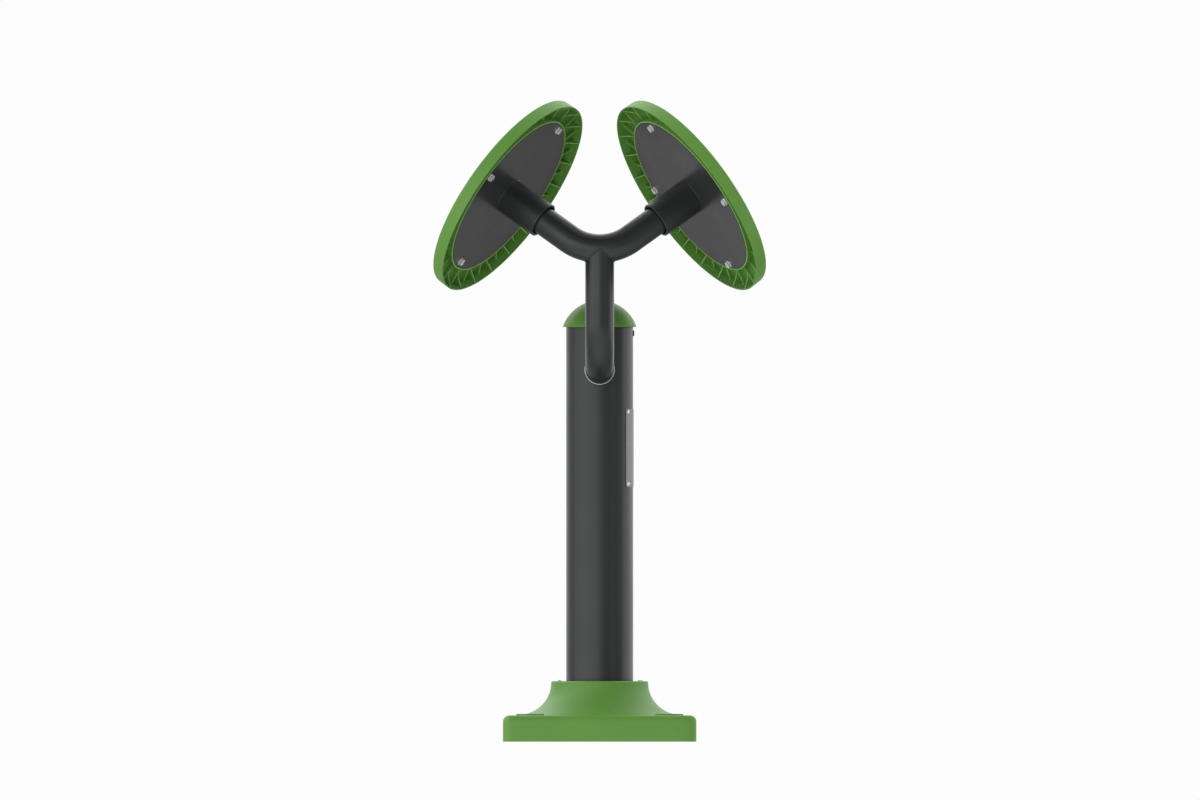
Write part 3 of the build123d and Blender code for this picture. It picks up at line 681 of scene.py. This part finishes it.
# Information plate and rivets
# A bare sheet of brushed stainless steel, rolled to the post's curve, with round corners and a
# blind rivet in each. The brushing runs round the post.
STEEL_TONES = ((0.168, 0.168, 0.168), (0.225, 0.225, 0.225))
STEEL_ROUGH = 0.35
STEEL_METAL = 0.6
STEEL_GLOSS = (0.26, 0.48)
BRUSH_STRETCH = (60.0, 60.0, 2600.0)
BRUSH_DEPTH = 0.012 * MM
BRUSH_DETAIL = 4.0
INFO_THICK = 1.0 * MM
INFO_CORNER_R = 5.0 * MM
INFO_ROWS = 16
INFO_COLS = 72
RIVET_TONES = ((0.92, 0.92, 0.92), (0.85, 0.85, 0.86))
RIVET_GLOSS = (0.2, 0.32)
RIVET_METAL = 0.3
RIVET_R = 4.0 * MM
RIVET_H = 2.2 * MM
RIVET_HOLE_R = 0.8 * MM
RIVET_HOLE_Z = 1.21 * MM
RIVET_MOUTH_R = 1.04 * MM
RIVET_MOUTH_Z = 1.76 * MM
RIVET_DOME_START = 0.32
RIVET_DOME_POWER = 0.9
RIVET_DOME_STEPS = 9
RIVET_SHANK_R = 2.0 * MM
RIVET_SHANK = 7.0 * MM
RIVET_INSET_Z = 6.2 * MM
RIVET_ANGLE = radians(33.0)
RIVET_SEGMENTS = 40


def brushed_steel(name):
    """Brushed sheet: noise drawn out round the post makes the tone, gloss and relief of the lines."""
    made = plain_material(name, STEEL_TONES[1], STEEL_ROUGH, STEEL_METAL)
    tree = made.node_tree
    place = add_node(tree, "ShaderNodeTexCoord")
    stretch = {"Vector": place.outputs["Object"], "Scale": BRUSH_STRETCH}
    drawn = add_node(tree, "ShaderNodeMapping", stretch)
    noise = {"Vector": drawn.outputs["Vector"], "Scale": 1.0, "Detail": BRUSH_DETAIL}
    lines = add_node(tree, "ShaderNodeTexNoise", noise)
    surfaced(tree, [lines.outputs["Fac"]] * 3, STEEL_TONES, STEEL_GLOSS, BRUSH_DEPTH)
    return made


def post_radial(grid, angle, z):
    """A piece made along +Z, turned to point out of the post at an angle and height."""
    out = np.array([np.cos(angle), np.sin(angle), 0])
    side = np.array([-np.sin(angle), np.cos(angle), 0])
    up = np.array([0.0, 0.0, 1.0])
    return grid[..., :1] * side + grid[..., 1:2] * up + grid[..., 2:] * out + np.array([0, 0, z])


info_low, info_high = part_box("info_plate")
INFO_R = info_high.x
INFO_HALF = np.arcsin(info_high.y / INFO_R)
corner_turn = np.linspace(0, np.pi / 2, INFO_ROWS)
corner_rise = INFO_CORNER_R * (1 - np.cos(corner_turn))
corner_inset = INFO_CORNER_R * (1 - np.sin(corner_turn))
info_z = np.concatenate([info_low.z + corner_rise, info_high.z - corner_rise[::-1]])[:, None]
info_half = INFO_HALF - np.concatenate([corner_inset, corner_inset[::-1]]) / INFO_R
info_angle = info_half[:, None] * np.linspace(-1, 1, INFO_COLS)
info_skins = [around(radius, info_angle, info_z) for radius in (INFO_R, INFO_R - INFO_THICK)]
stainless = brushed_steel("brushed_stainless")
info = make_piece("bare_info_plate", sheet(info_skins), stainless, "station_frame")
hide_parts("info_plate")

rivet_turn = np.linspace(RIVET_DOME_START, np.pi / 2, RIVET_DOME_STEPS)
rivet_dome = [(RIVET_R * np.sin(turn), RIVET_H * np.cos(turn) ** RIVET_DOME_POWER) for turn in rivet_turn]
rivet_outline = np.array([
    (0, RIVET_HOLE_Z),
    (RIVET_HOLE_R, RIVET_HOLE_Z),
    (RIVET_MOUTH_R, RIVET_MOUTH_Z),
    *rivet_dome,
    (RIVET_SHANK_R, 0),
    (RIVET_SHANK_R, -RIVET_SHANK),
    (0, -RIVET_SHANK),
])
rivet = moved(turned(rivet_outline, RIVET_SEGMENTS), 0, 0, INFO_R)
rivet_heights = (info_low.z + RIVET_INSET_Z, info_high.z - RIVET_INSET_Z)
rivet_places = [(angle, z) for angle in (-RIVET_ANGLE, RIVET_ANGLE) for z in rivet_heights]
rivet_patches = [(post_radial(rivet, angle, z), False, True) for angle, z in rivet_places]
bright = plated_metal("bright_aluminium", RIVET_TONES, RIVET_GLOSS, RIVET_METAL)
rivets = make_piece("info_plate_rivets", rivet_patches, bright, "station_frame")
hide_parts("plate_rivets")


# Post cap
# A hollow green dome that closes the post. Its skirt goes down inside the tube, and one black
# screw through the post's wall holds it.
CAP_SPHERE_R = 81.0 * MM
CAP_WALL = 3.5 * MM
CAP_SKIRT_FIT = 0.4 * MM
CAP_EDGE_R = 1.6 * MM
CAP_STEPS = 48
CAP_RIM_STEPS = 6
CAP_SEGMENTS = 160
CAP_SCREW_R = 6.35 * MM
CAP_SCREW_H = 2.4 * MM
CAP_SCREW_REACH = 12.0 * MM
OXIDE_TONES = ((0.06, 0.06, 0.065), (0.04, 0.04, 0.045))
OXIDE_GLOSS = (0.35, 0.5)

cap_low, cap_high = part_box("post_cap")
cap_middle = cap_high.z - CAP_SPHERE_R
cap_rim = np.sqrt(CAP_SPHERE_R**2 - (post_high.z - cap_middle) ** 2)
rim_angle = np.arcsin(cap_rim / CAP_SPHERE_R) - CAP_EDGE_R / CAP_SPHERE_R


def cap_arc(radius, start, end):
    """Profile points of a sphere round the cap's middle, between two angles from the top."""
    angle = np.linspace(start, end, CAP_STEPS)
    return joined(radius * np.sin(angle), cap_middle + radius * np.cos(angle))


dome = cap_arc(CAP_SPHERE_R, 0, rim_angle)
rim_turn = np.linspace(0, 1, CAP_RIM_STEPS)[1:, None]
rim_start = dome[-1]
rim_corner = np.array([cap_rim, post_high.z])
rim_end = np.array([cap_rim - CAP_EDGE_R, post_high.z])
rim = (1 - rim_turn) ** 2 * rim_start + 2 * rim_turn * (1 - rim_turn) * rim_corner + rim_turn**2 * rim_end
skirt_r = POST_BORE_R - CAP_SKIRT_FIT
hollow_r = CAP_SPHERE_R - CAP_WALL
hollow = cap_arc(hollow_r, np.arcsin((skirt_r - CAP_WALL) / hollow_r), 0)
skirt = np.array([(skirt_r, post_high.z), (skirt_r, cap_low.z), (skirt_r - CAP_WALL, cap_low.z)])
cap_outline = np.concatenate([dome, rim, skirt, hollow])
cap = make_piece("dome_cap", [(turned(cap_outline, CAP_SEGMENTS), False, True)], green, "station_frame")
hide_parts("post_cap")

black_oxide = plated_metal("black_oxide", OXIDE_TONES, OXIDE_GLOSS)
cap_screw_low, cap_screw_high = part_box("cap_screw")
cap_screw_z = (cap_screw_low.z + cap_screw_high.z) / 2
cap_screw = moved(socket_screw(CAP_SCREW_R, CAP_SCREW_H, CAP_SCREW_REACH), 0, 0, POST_R)
cap_patch = (post_radial(cap_screw, 0.0, cap_screw_z), False, True)
cap_fixing = make_piece("cap_retaining_screw", [cap_patch], black_oxide, "station_frame")
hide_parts("cap_screw")


# Axles and bearings
# In each end of the yoke a turned steel axle carries two sealed ball bearings with a spacer, a
# washer and a lock nut. All of it is closed in by the hub sleeve and keeps its solid shape.
TURNED_TONES = ((0.56, 0.56, 0.57), (0.46, 0.46, 0.47))
TURNED_GLOSS = (0.25, 0.4)
GROUND_TONES = ((0.72, 0.72, 0.73), (0.62, 0.62, 0.63))
GROUND_GLOSS = (0.1, 0.2)
BRASS_TONES = ((0.72, 0.56, 0.26), (0.58, 0.43, 0.18))
BRASS_GLOSS = (0.3, 0.45)
RUBBER_BASE = (0.02, 0.02, 0.02)
RUBBER_ROUGH = 0.7
RUBBER_GRAIN = (700.0, 40.0, 0.03 * MM)
RUBBER_TONES = ((0.022, 0.022, 0.022), (0.014, 0.014, 0.014))
RUBBER_GLOSS = (0.6, 0.8)
CAGE_BASE = (0.62, 0.5, 0.33)
CAGE_ROUGH = 0.5
CAGE_GRAIN = (900.0, 60.0, 0.02 * MM)
CAGE_TONES = ((0.64, 0.52, 0.34), (0.54, 0.42, 0.27))
CAGE_GLOSS = (0.4, 0.55)

turned_steel = plated_metal("turned_steel", TURNED_TONES, TURNED_GLOSS)
ground_steel = plated_metal("ground_bearing_steel", GROUND_TONES, GROUND_GLOSS)
rubber = plain_material("black_rubber", RUBBER_BASE, RUBBER_ROUGH)
grained(rubber, *RUBBER_GRAIN, RUBBER_TONES, RUBBER_GLOSS)
cage_plastic = plain_material("cage_plastic", CAGE_BASE, CAGE_ROUGH)
grained(cage_plastic, *CAGE_GRAIN, CAGE_TONES, CAGE_GLOSS)
brass = plated_metal("knurled_brass", BRASS_TONES, BRASS_GLOSS)
for side in SIDES:
    dress(turned_steel, f"{side}_axle", f"{side}_bearing_spacer")
    dress(ground_steel, f"{side}_bearing_inner_rings", f"{side}_bearing_outer_rings")
    dress(ground_steel, f"{side}_bearing_balls")
    dress(zinc, f"{side}_axle_washer", f"{side}_axle_nut")
    dress(rubber, f"{side}_bearing_seals", f"{side}_dust_seal")
    dress(cage_plastic, f"{side}_ball_cages")
    dress(brass, f"{side}_disc_inserts")


# Hub sleeves and plates
# Each hub is a thick steel sleeve with a rounded lip, welded to the middle of a round steel plate.
# The plate carries the disc and has a lighter grey coat than the tubes.
PLATE_TONES = ((0.026, 0.027, 0.027), (0.023, 0.024, 0.024))
PLATE_GLOSS = (0.28, 0.35)
SLEEVE_R = 38.05 * MM
SLEEVE_MOUTH = 94.0 * MM
SLEEVE_MOUTH_R = 33.55 * MM
SLEEVE_SEAT = 61.4 * MM
SLEEVE_SEAT_R = 31.0 * MM
SLEEVE_LIP_R = 1.8 * MM
HUB_BEAD_R = 1.4 * MM
PLATE_R = 182.0 * MM
PLATE_THICK = 4.0 * MM
PLATE_HOLE_R = 31.0 * MM
PLATE_EDGE_R = 0.8 * MM
SLEEVE_SEGMENTS = 128
PLATE_SEGMENTS = 256
REST_TURN = {"left": radians(3.0), "right": radians(17.8)}
HAND = {"left": -1.0, "right": 1.0}


def hub_frame(side):
    """Middle of the plate's back face, and three unit lines: down the disc, across it, and out along
    the axle. The first is turned by as much as the disc stands turned."""
    axis = arm_dir[side]
    down = np.array([axis[2], 0.0, -axis[0]]) * HAND[side]
    down = down / np.linalg.norm(down)
    across = np.cross(axis, down)
    turn = REST_TURN[side]
    first = np.cos(turn) * down + np.sin(turn) * across
    return np.array(hinge[side]["pos_m"]), np.stack([first, np.cross(axis, first), axis])


def on_hub(grid, side):
    """A piece made round the Z axis, with the plate's back face at height 0, set on its hub."""
    middle, lines = hub_frame(side)
    return middle + grid @ lines


plate_coat = powder_coat("grey_plate_coat", PLATE_TONES, PLATE_GLOSS)
sleeve_outline = outline(
    [
        (SLEEVE_R, 0),
        (SLEEVE_R, -SLEEVE_MOUTH),
        (SLEEVE_MOUTH_R, -SLEEVE_MOUTH),
        (SLEEVE_MOUTH_R, -SLEEVE_SEAT),
        (SLEEVE_SEAT_R, -SLEEVE_SEAT),
        (SLEEVE_SEAT_R, 0),
        (SLEEVE_R, 0),
    ],
    [SLEEVE_LIP_R, SLEEVE_LIP_R, 0, 0, 0],
)
plate_outline = outline(
    [
        (PLATE_HOLE_R, 0),
        (PLATE_R, 0),
        (PLATE_R, PLATE_THICK),
        (PLATE_HOLE_R, PLATE_THICK),
        (PLATE_HOLE_R, 0),
    ],
    [PLATE_EDGE_R, PLATE_EDGE_R, 0],
)
sleeve_skin = turned(sleeve_outline, SLEEVE_SEGMENTS)
plate_skin = turned(plate_outline, PLATE_SEGMENTS)
hub_bead = weld_bead(around(SLEEVE_R, bead_ring, 0), HUB_BEAD_R)
for side in SIDES:
    body = f"{side}_turning_disc"
    sleeve_patch, plate_patch, bead_patch = (
        (on_hub(skin, side), True, True) for skin in (sleeve_skin, plate_skin, hub_bead)
    )
    sleeve = make_piece(f"{side}_sleeve", [sleeve_patch], anthracite, body)
    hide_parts(f"{side}_hub_sleeve")
    plate = make_piece(f"{side}_backing_plate", [plate_patch], plate_coat, body)
    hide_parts(f"{side}_disc_plate")
    make_piece(f"{side}_hub_weld", [bead_patch], anthracite, body,
               sharp=BEAD_SHARP_ANGLE)


# Disc bolts
# Four zinc-plated hexagon bolts per disc, with flat washers, go through the plate into threaded
# inserts in the disc. The heads are chamfered and slightly dished.
BOLT_CIRCLE_R = 170.0 * MM
BOLT_FLAT_R = 6.5 * MM
BOLT_HEAD_H = 5.3 * MM
BOLT_SHANK_R = 4.0 * MM
BOLT_SHANK = 13.6 * MM
BOLT_WASHER = 1.6 * MM
BOLT_CHAMFER_R = 6.1 * MM
BOLT_CHAMFER_SLOPE = np.tan(radians(30))
BOLT_FACE_SHARE = 0.92
BOLT_DISH_R = 4.7 * MM
BOLT_DISH_DEPTH = 0.3 * MM
BOLT_COUNT = 4
BOLT_SHARP_ANGLE = 25.0


def hexagon_bolt():
    """A bolt whose head points to -Z: the chamfer is a cone that cuts the hexagon's corners, so its
    edge dips towards each corner."""
    angle = full_turn(SCREW_SEGMENTS)
    side = BOLT_FLAT_R * hexagon_reach(angle)
    shoulder = BOLT_HEAD_H - (side - BOLT_CHAMFER_R) * BOLT_CHAMFER_SLOPE
    rows = [
        (0, BOLT_HEAD_H - BOLT_DISH_DEPTH),
        (BOLT_DISH_R, BOLT_HEAD_H - BOLT_DISH_DEPTH),
        (BOLT_CHAMFER_R * BOLT_FACE_SHARE, BOLT_HEAD_H),
        (BOLT_CHAMFER_R, BOLT_HEAD_H),
        (side, shoulder),
        (side, 0),
        (BOLT_SHANK_R, 0),
        (BOLT_SHANK_R, -BOLT_SHANK),
        (0, -BOLT_SHANK),
    ]
    return np.array([around(radius, angle, -height) for radius, height in rows])


def spun(grid, angle):
    """A grid turned about the Z axis."""
    cosine, sine = np.cos(angle), np.sin(angle)
    return grid @ np.array([[cosine, sine, 0], [-sine, cosine, 0], [0, 0, 1.0]])


def bolt_pattern(grid, z):
    """Copies of a grid spaced evenly on the bolts' circle, at a height."""
    first = moved(grid, BOLT_CIRCLE_R, 0, z)
    return [spun(first, 2 * np.pi * number / BOLT_COUNT) for number in range(BOLT_COUNT)]


bolts = bolt_pattern(hexagon_bolt(), -BOLT_WASHER)
for side in SIDES:
    bolt_patches = [(on_hub(one, side), False, True) for one in bolts]
    made = make_piece(f"{side}_hexagon_bolts", bolt_patches, zinc, f"{side}_turning_disc",
                      sharp=BOLT_SHARP_ANGLE)
    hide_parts(f"{side}_disc_bolts")
    dress(zinc, f"{side}_disc_washers")


# Discs
# Two thin moulded discs in the cover's green plastic. The front is a shallow crown that the palm
# runs over. Behind it stand the rim, a ring round the steel plate and bosses for the bolts; 24
# triangular ribs brace the rim, with a low rib between each two.
DISC_R = 228.0 * MM
DISC_DEPTH = 26.7 * MM
RIM_DRAFT = 1.2 * MM
DISC_WALL = 3.0 * MM
DISC_CROWN = 8.0 * MM
DISC_EDGE_R = 2.5 * MM
RIM_LIP_R = 1.0 * MM
PLATE_SINK = 10.0 * MM
RING_FIT = 0.6 * MM
RING_BORE_R = PLATE_R + RING_FIT
RING_WALL = 3.2 * MM
RING_LIP_R = 0.9 * MM
SUPPORT_RING_R = 95.0 * MM
BOSS_R = 10.0 * MM
INSERT_SEAT_R = 5.6 * MM
BOSS_DEPTH = 9.0 * MM
BOSS_CHAMFER = 0.4 * MM
RIB_COUNT = 24
RIB_HALF_ANGLE = radians(0.30)
RIB_REACH = 20.0 * MM
RIB_DROP = 3.0 * MM
LOW_RIB_H = 9.0 * MM
RIB_STEPS = 7
RIB_PLACES = (0.0, 0.8, 0.985, 0.99, 1.035, 1.04, 1.12, 1.3, 1.7, 2.2, 8.0)
RIB_RISES = (1.0, 0.985, 0.87, 0.8, 0.13, 0.06, 0.02, 0.008, 0.003, 0.0, 0.0)
FRONT_STEPS = 12
FRONT_INSET = 3 * DISC_EDGE_R
DISC_ARCS = {"steps": 4, "support": 0.3 * MM}
DISC_SHARP_ANGLE = 50.0
TOP_SHARE = 0.85
LOW_TOP_REACH = 1.1 * LOW_RIB_H
# Painted highlight: a paler green on the rib tops and the ring's lip, with shares for low ribs and lip.
EDGE_HIGHLIGHT_TONE = (0.30, 0.54, 0.17)
LOW_RIB_HIGHLIGHT_SHARE = 0.7
LIP_HIGHLIGHT_SHARE = 0.6
RIM_BACK = -PLATE_SINK
RIM_FRONT = RIM_BACK + DISC_DEPTH
RIM_BORE_R = DISC_R - DISC_WALL
FLOOR_Z = RIM_FRONT - DISC_WALL


def crown(radius, edge_r, base):
    """Height of a crowned face: the base at its edge, rising as a parabola to the middle."""
    return base + DISC_CROWN * (1 - (radius / edge_r) ** 2)


def drafted(height):
    """How much wider the rim is at a height than at the front: nothing there, the full draft behind."""
    return RIM_DRAFT * (RIM_FRONT - height) / DISC_DEPTH


def rib_columns():
    """Angles round the disc, crowded at each rib, and how much of a rib stands at each: full on the
    rounded top, steep at the flanks, then a small fillet. Tall and low ribs take turns."""
    place = np.array(RIB_PLACES)
    local = np.concatenate([-place[:0:-1], place]) * RIB_HALF_ANGLE
    standing = np.array(RIB_RISES[:0:-1] + RIB_RISES)
    number = np.arange(2 * RIB_COUNT)[:, None]
    angle = np.pi / RIB_COUNT * number + local
    return angle.ravel(), np.ravel(number % 2 * standing), np.ravel((number + 1) % 2 * standing)


def disc_back_rows(tall, low):
    """Rows of (radius, height) behind the disc, from the middle to the rim's edge, for every column. In
    the corner each point slides from the floor and wall to a tall rib's slanted edge by the rib's share,
    and between ring and rim the floor is lifted by a low rib's share."""
    toe_r = RIM_BORE_R - RIB_REACH
    top_z = RIM_BACK + RIB_DROP
    ring_r = RING_BORE_R + RING_WALL
    inner = outline(
        [
            (0, crown(0, RIM_BORE_R, FLOOR_Z)),
            (SUPPORT_RING_R, crown(SUPPORT_RING_R, RIM_BORE_R, FLOOR_Z)),
            (SUPPORT_RING_R, PLATE_THICK),
            (SUPPORT_RING_R + RING_WALL, PLATE_THICK),
            (SUPPORT_RING_R + RING_WALL, crown(SUPPORT_RING_R, RIM_BORE_R, FLOOR_Z)),
            (RING_BORE_R, crown(RING_BORE_R, RIM_BORE_R, FLOOR_Z)),
            (RING_BORE_R, 0),
            (ring_r, 0),
            (ring_r, crown(ring_r, RIM_BORE_R, FLOOR_Z)),
        ],
        [0, 0, 0, 0, 0, RING_LIP_R, RING_LIP_R],
        **DISC_ARCS,
    )
    floor_r = np.linspace(toe_r, RIM_BORE_R, RIB_STEPS)
    floor = joined(floor_r, crown(floor_r, RIM_BORE_R, FLOOR_Z))
    wall_z = np.linspace(FLOOR_Z, top_z, 2 * RIB_STEPS)[1:]
    wall = joined(RIM_BORE_R + drafted(wall_z), wall_z)
    corner = np.concatenate([floor, wall])
    slant = np.linspace(corner[0], corner[-1], len(corner))
    blended = corner[:, None] + (slant - corner)[:, None] * tall[:, None]
    plain = np.repeat(inner[:, None], len(tall), axis=1)
    rows = np.concatenate([plain, blended])
    raised = rows[len(inner) - 1:]
    low_top = crown(raised[..., 0], RIM_BORE_R, FLOOR_Z) - LOW_RIB_H * low
    raised[..., 1] = np.minimum(raised[..., 1], low_top)
    return rows


def disc_front_rows():
    """Rows from the rim's back edge round the outside and over the crowned front to the middle."""
    top_z = RIM_BACK + RIB_DROP
    front_r = np.linspace(DISC_R - FRONT_INSET, 0, FRONT_STEPS)
    corners = [
        (RIM_BORE_R + drafted(top_z), top_z),
        (RIM_BORE_R + RIM_DRAFT, RIM_BACK),
        (DISC_R + RIM_DRAFT, RIM_BACK),
        (DISC_R, RIM_FRONT),
        *((radius, crown(radius, DISC_R, RIM_FRONT)) for radius in front_r),
    ]
    return outline(corners, [RIM_LIP_R, RIM_LIP_R, DISC_EDGE_R] + [0] * (FRONT_STEPS - 1), **DISC_ARCS)[1:]


def disc_patch():
    """The whole skin of a disc, carried round its axis column by column, and its painted highlight: a
    paler green, full on the tops of the tall ribs, less on the low ones, and on the lip of the ring."""
    angle, tall, low = rib_columns()
    back = disc_back_rows(tall, low)
    front = np.repeat(disc_front_rows()[:, None], len(angle), axis=1)
    rows = np.concatenate([back, front])
    radius, height = rows[..., 0], rows[..., 1]
    outer = (radius > RING_BORE_R + RING_WALL) & (np.arange(len(rows)) < len(back))[:, None]
    tall_top = outer & (tall > TOP_SHARE)
    low_top = outer & (low > TOP_SHARE) & (height > FLOOR_Z - LOW_TOP_REACH)
    at_ring = (radius > RING_BORE_R - RING_LIP_R) & (radius < RING_BORE_R + 2 * RING_WALL)
    on_lip = at_ring & (height < RING_LIP_R / 2)
    # Painted highlight: full on tall rib tops, a share on low rib tops and on the ring's lip.
    highlight_share = np.maximum.reduce([1.0 * tall_top, LOW_RIB_HIGHLIGHT_SHARE * low_top, LIP_HIGHLIGHT_SHARE * on_lip])
    return around(radius, angle, height), highlight_share


def painted_edge_highlight(made, colour):
    """Adds a painted highlight to a plastic: a paler tone where the U value of the object's own map says
    so.
    """
    tree = made.node_tree
    shader = tree.nodes["Principled BSDF"]
    place = add_node(tree, "ShaderNodeUVMap", uv_map="marks")
    split = add_node(tree, "ShaderNodeSeparateXYZ", {"Vector": place.outputs["UV"]})
    plain = shader.inputs["Base Color"].links[0].from_socket
    feed(tree, shader, {"Base Color": two_tone(tree, split.outputs["X"], plain, colour)})


boss_outline = np.array([
    (0, FLOOR_Z + DISC_WALL),
    (BOSS_R, FLOOR_Z + DISC_WALL),
    (BOSS_R, PLATE_THICK + BOSS_CHAMFER),
    (BOSS_R - BOSS_CHAMFER, PLATE_THICK),
    (INSERT_SEAT_R, PLATE_THICK),
    (INSERT_SEAT_R, PLATE_THICK + BOSS_DEPTH),
    (0, PLATE_THICK + BOSS_DEPTH),
])
bosses = bolt_pattern(turned(boss_outline, SCREW_SEGMENTS), 0)
disc_skin, disc_highlight = disc_patch()
disc_highlight_marks = [disc_highlight] + [np.zeros(one.shape[:2]) for one in bosses]
ribbed_green = moulded_plastic("ribbed_green_plastic", GREEN_TONES, GREEN_GLOSS)
# The rib tops and the ring's lip get a painted highlight, a paler green in the colour.
painted_edge_highlight(ribbed_green, EDGE_HIGHLIGHT_TONE)
for side in SIDES:
    disc_patches = [(on_hub(skin, side), False, True) for skin in (disc_skin, *bosses)]
    disc = make_piece(f"{side}_hand_disc", disc_patches, ribbed_green, f"{side}_turning_disc",
                      sharp=DISC_SHARP_ANGLE, marks=disc_highlight_marks)
    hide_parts(f"{side}_disc")


# Light, floor and camera
# Soft studio light from all round: a broad bright wall on the left, a dark gap right of the camera
# and a bright strip behind on the right. The station stands on a plain pale floor, which the level
# camera sees edge on and which throws no light back at it.
FLOOR_HALF = 12.0
FLOOR_DROP = 0.5 * MM
FLOOR_TONE = (0.86, 0.86, 0.86)
FLOOR_ROUGH = 0.9
BACKGROUND = (0.98, 0.98, 0.98)
LIGHT_STRENGTH = 1.45
OVERHEAD_LOSS = 0.6
OVERHEAD_SPAN = (0.7, 0.95)
UPPER_SPAN = (0.15, 0.5)
UPPER_LIGHT = [
    (-180, 1.3), (-120, 1.35), (-70, 1.25), (-25, 0.3), (10, 0.12),
    (40, 0.3), (80, 1.3), (140, 1.3), (180, 1.3),
]
HORIZON_LIGHT = [
    (-180, 0.75), (-160, 0.70), (-142, 0.60), (-111, 0.26), (-90, 0.84), (-56, 1.20),
    (-12, 1.05), (3, 0.65), (14, 0.25), (30, 0.22), (43, 0.38), (58, 0.27),
    (80, 0.22), (90, 0.90), (118, 0.95), (142, 0.72), (160, 0.72), (180, 0.75),
]
LOWER_SPAN = (-0.08, -0.35)
LOWER_LIGHT = [
    (-180, 0.34), (-150, 0.25), (-100, 0.30), (-55, 0.70), (-10, 0.78),
    (50, 0.60), (90, 0.42), (120, 0.20), (148, 0.16), (180, 0.34),
]
VIEW_WIDTH = 2.499
VIEW_X = 0.0007
VIEW_Z = 0.7116
VIEW_DISTANCE = 6.0


def calculated(tree, operation, *values):
    """One step of arithmetic on two or three values, each a number or another node's output."""
    node = add_node(tree, "ShaderNodeMath", dict(enumerate(values)), operation=operation)
    return node.outputs["Value"]


def round_ramp(tree, turn, levels):
    """Brightness by the angle round the horizon, straight between the given angles in degrees."""
    node = add_node(tree, "ShaderNodeValToRGB", {"Fac": turn})
    stops = node.color_ramp.elements
    for angle, _ in levels[1:-1]:
        stops.new(angle / 360 + 0.5)
    for stop, (_, level) in zip(stops, levels):
        stop.color = (level, level, level, 1)
    return node.outputs["Color"]


def studio_world():
    """Light by direction: three ramps over the angle from the camera, for above, level and below, with
    less light straight overhead. The view itself sees a plain white ground."""
    world = bpy.data.worlds.new("studio")
    world.use_nodes = True
    tree = world.node_tree
    room = tree.nodes["Background"]
    place = add_node(tree, "ShaderNodeTexCoord")
    split = add_node(tree, "ShaderNodeSeparateXYZ", {"Vector": place.outputs["Generated"]})
    x, y, z = (split.outputs[name] for name in "XYZ")
    turn = calculated(tree, "ARCTAN2", x, calculated(tree, "MULTIPLY", y, -1.0))
    turn = calculated(tree, "MULTIPLY_ADD", turn, 0.5 / np.pi, 0.5)
    level = round_ramp(tree, turn, HORIZON_LIGHT)
    for levels, span in ((UPPER_LIGHT, UPPER_SPAN), (LOWER_LIGHT, LOWER_SPAN)):
        level = two_tone(tree, eased(tree, z, *span), level, round_ramp(tree, turn, levels))
    kept = calculated(tree, "MULTIPLY_ADD", eased(tree, z, *OVERHEAD_SPAN), -OVERHEAD_LOSS, 1.0)
    feed(tree, room, {"Color": level, "Strength": calculated(tree, "MULTIPLY", kept, LIGHT_STRENGTH)})
    ground = add_node(tree, "ShaderNodeBackground", {"Color": BACKGROUND})
    path = add_node(tree, "ShaderNodeLightPath")
    mix = add_node(tree, "ShaderNodeMixShader", {
        "Fac": path.outputs["Is Camera Ray"],
        1: room.outputs["Background"],
        2: ground.outputs["Background"],
    })
    feed(tree, tree.nodes["World Output"], {"Surface": mix.outputs["Shader"]})
    return world


bpy.context.scene.world = studio_world()

floor_corners = FLOOR_HALF * np.array([(-1, -1, 0), (1, -1, 0), (1, 1, 0), (-1, 1, 0)])
floor_corners[:, 2] = -FLOOR_DROP
floor_mesh = bpy.data.meshes.new("pale_floor")
floor_mesh.from_pydata(floor_corners.tolist(), [], [(0, 1, 2, 3)])
floor_mesh.materials.append(plain_material("pale_floor", FLOOR_TONE, FLOOR_ROUGH))
floor = placed("pale_floor", floor_mesh)
floor.visible_diffuse = False
floor.visible_glossy = False
floor.visible_shadow = False

camera_data = bpy.data.cameras.new("level_view")
camera_data.type = "ORTHO"
camera_data.ortho_scale = VIEW_WIDTH
camera = placed("level_view", camera_data)
camera.location = (VIEW_X, -VIEW_DISTANCE, VIEW_Z)
camera.rotation_euler = (radians(90), 0, 0)
bpy.context.scene.camera = camera
bpy.context.scene.view_settings.view_transform = "Standard"
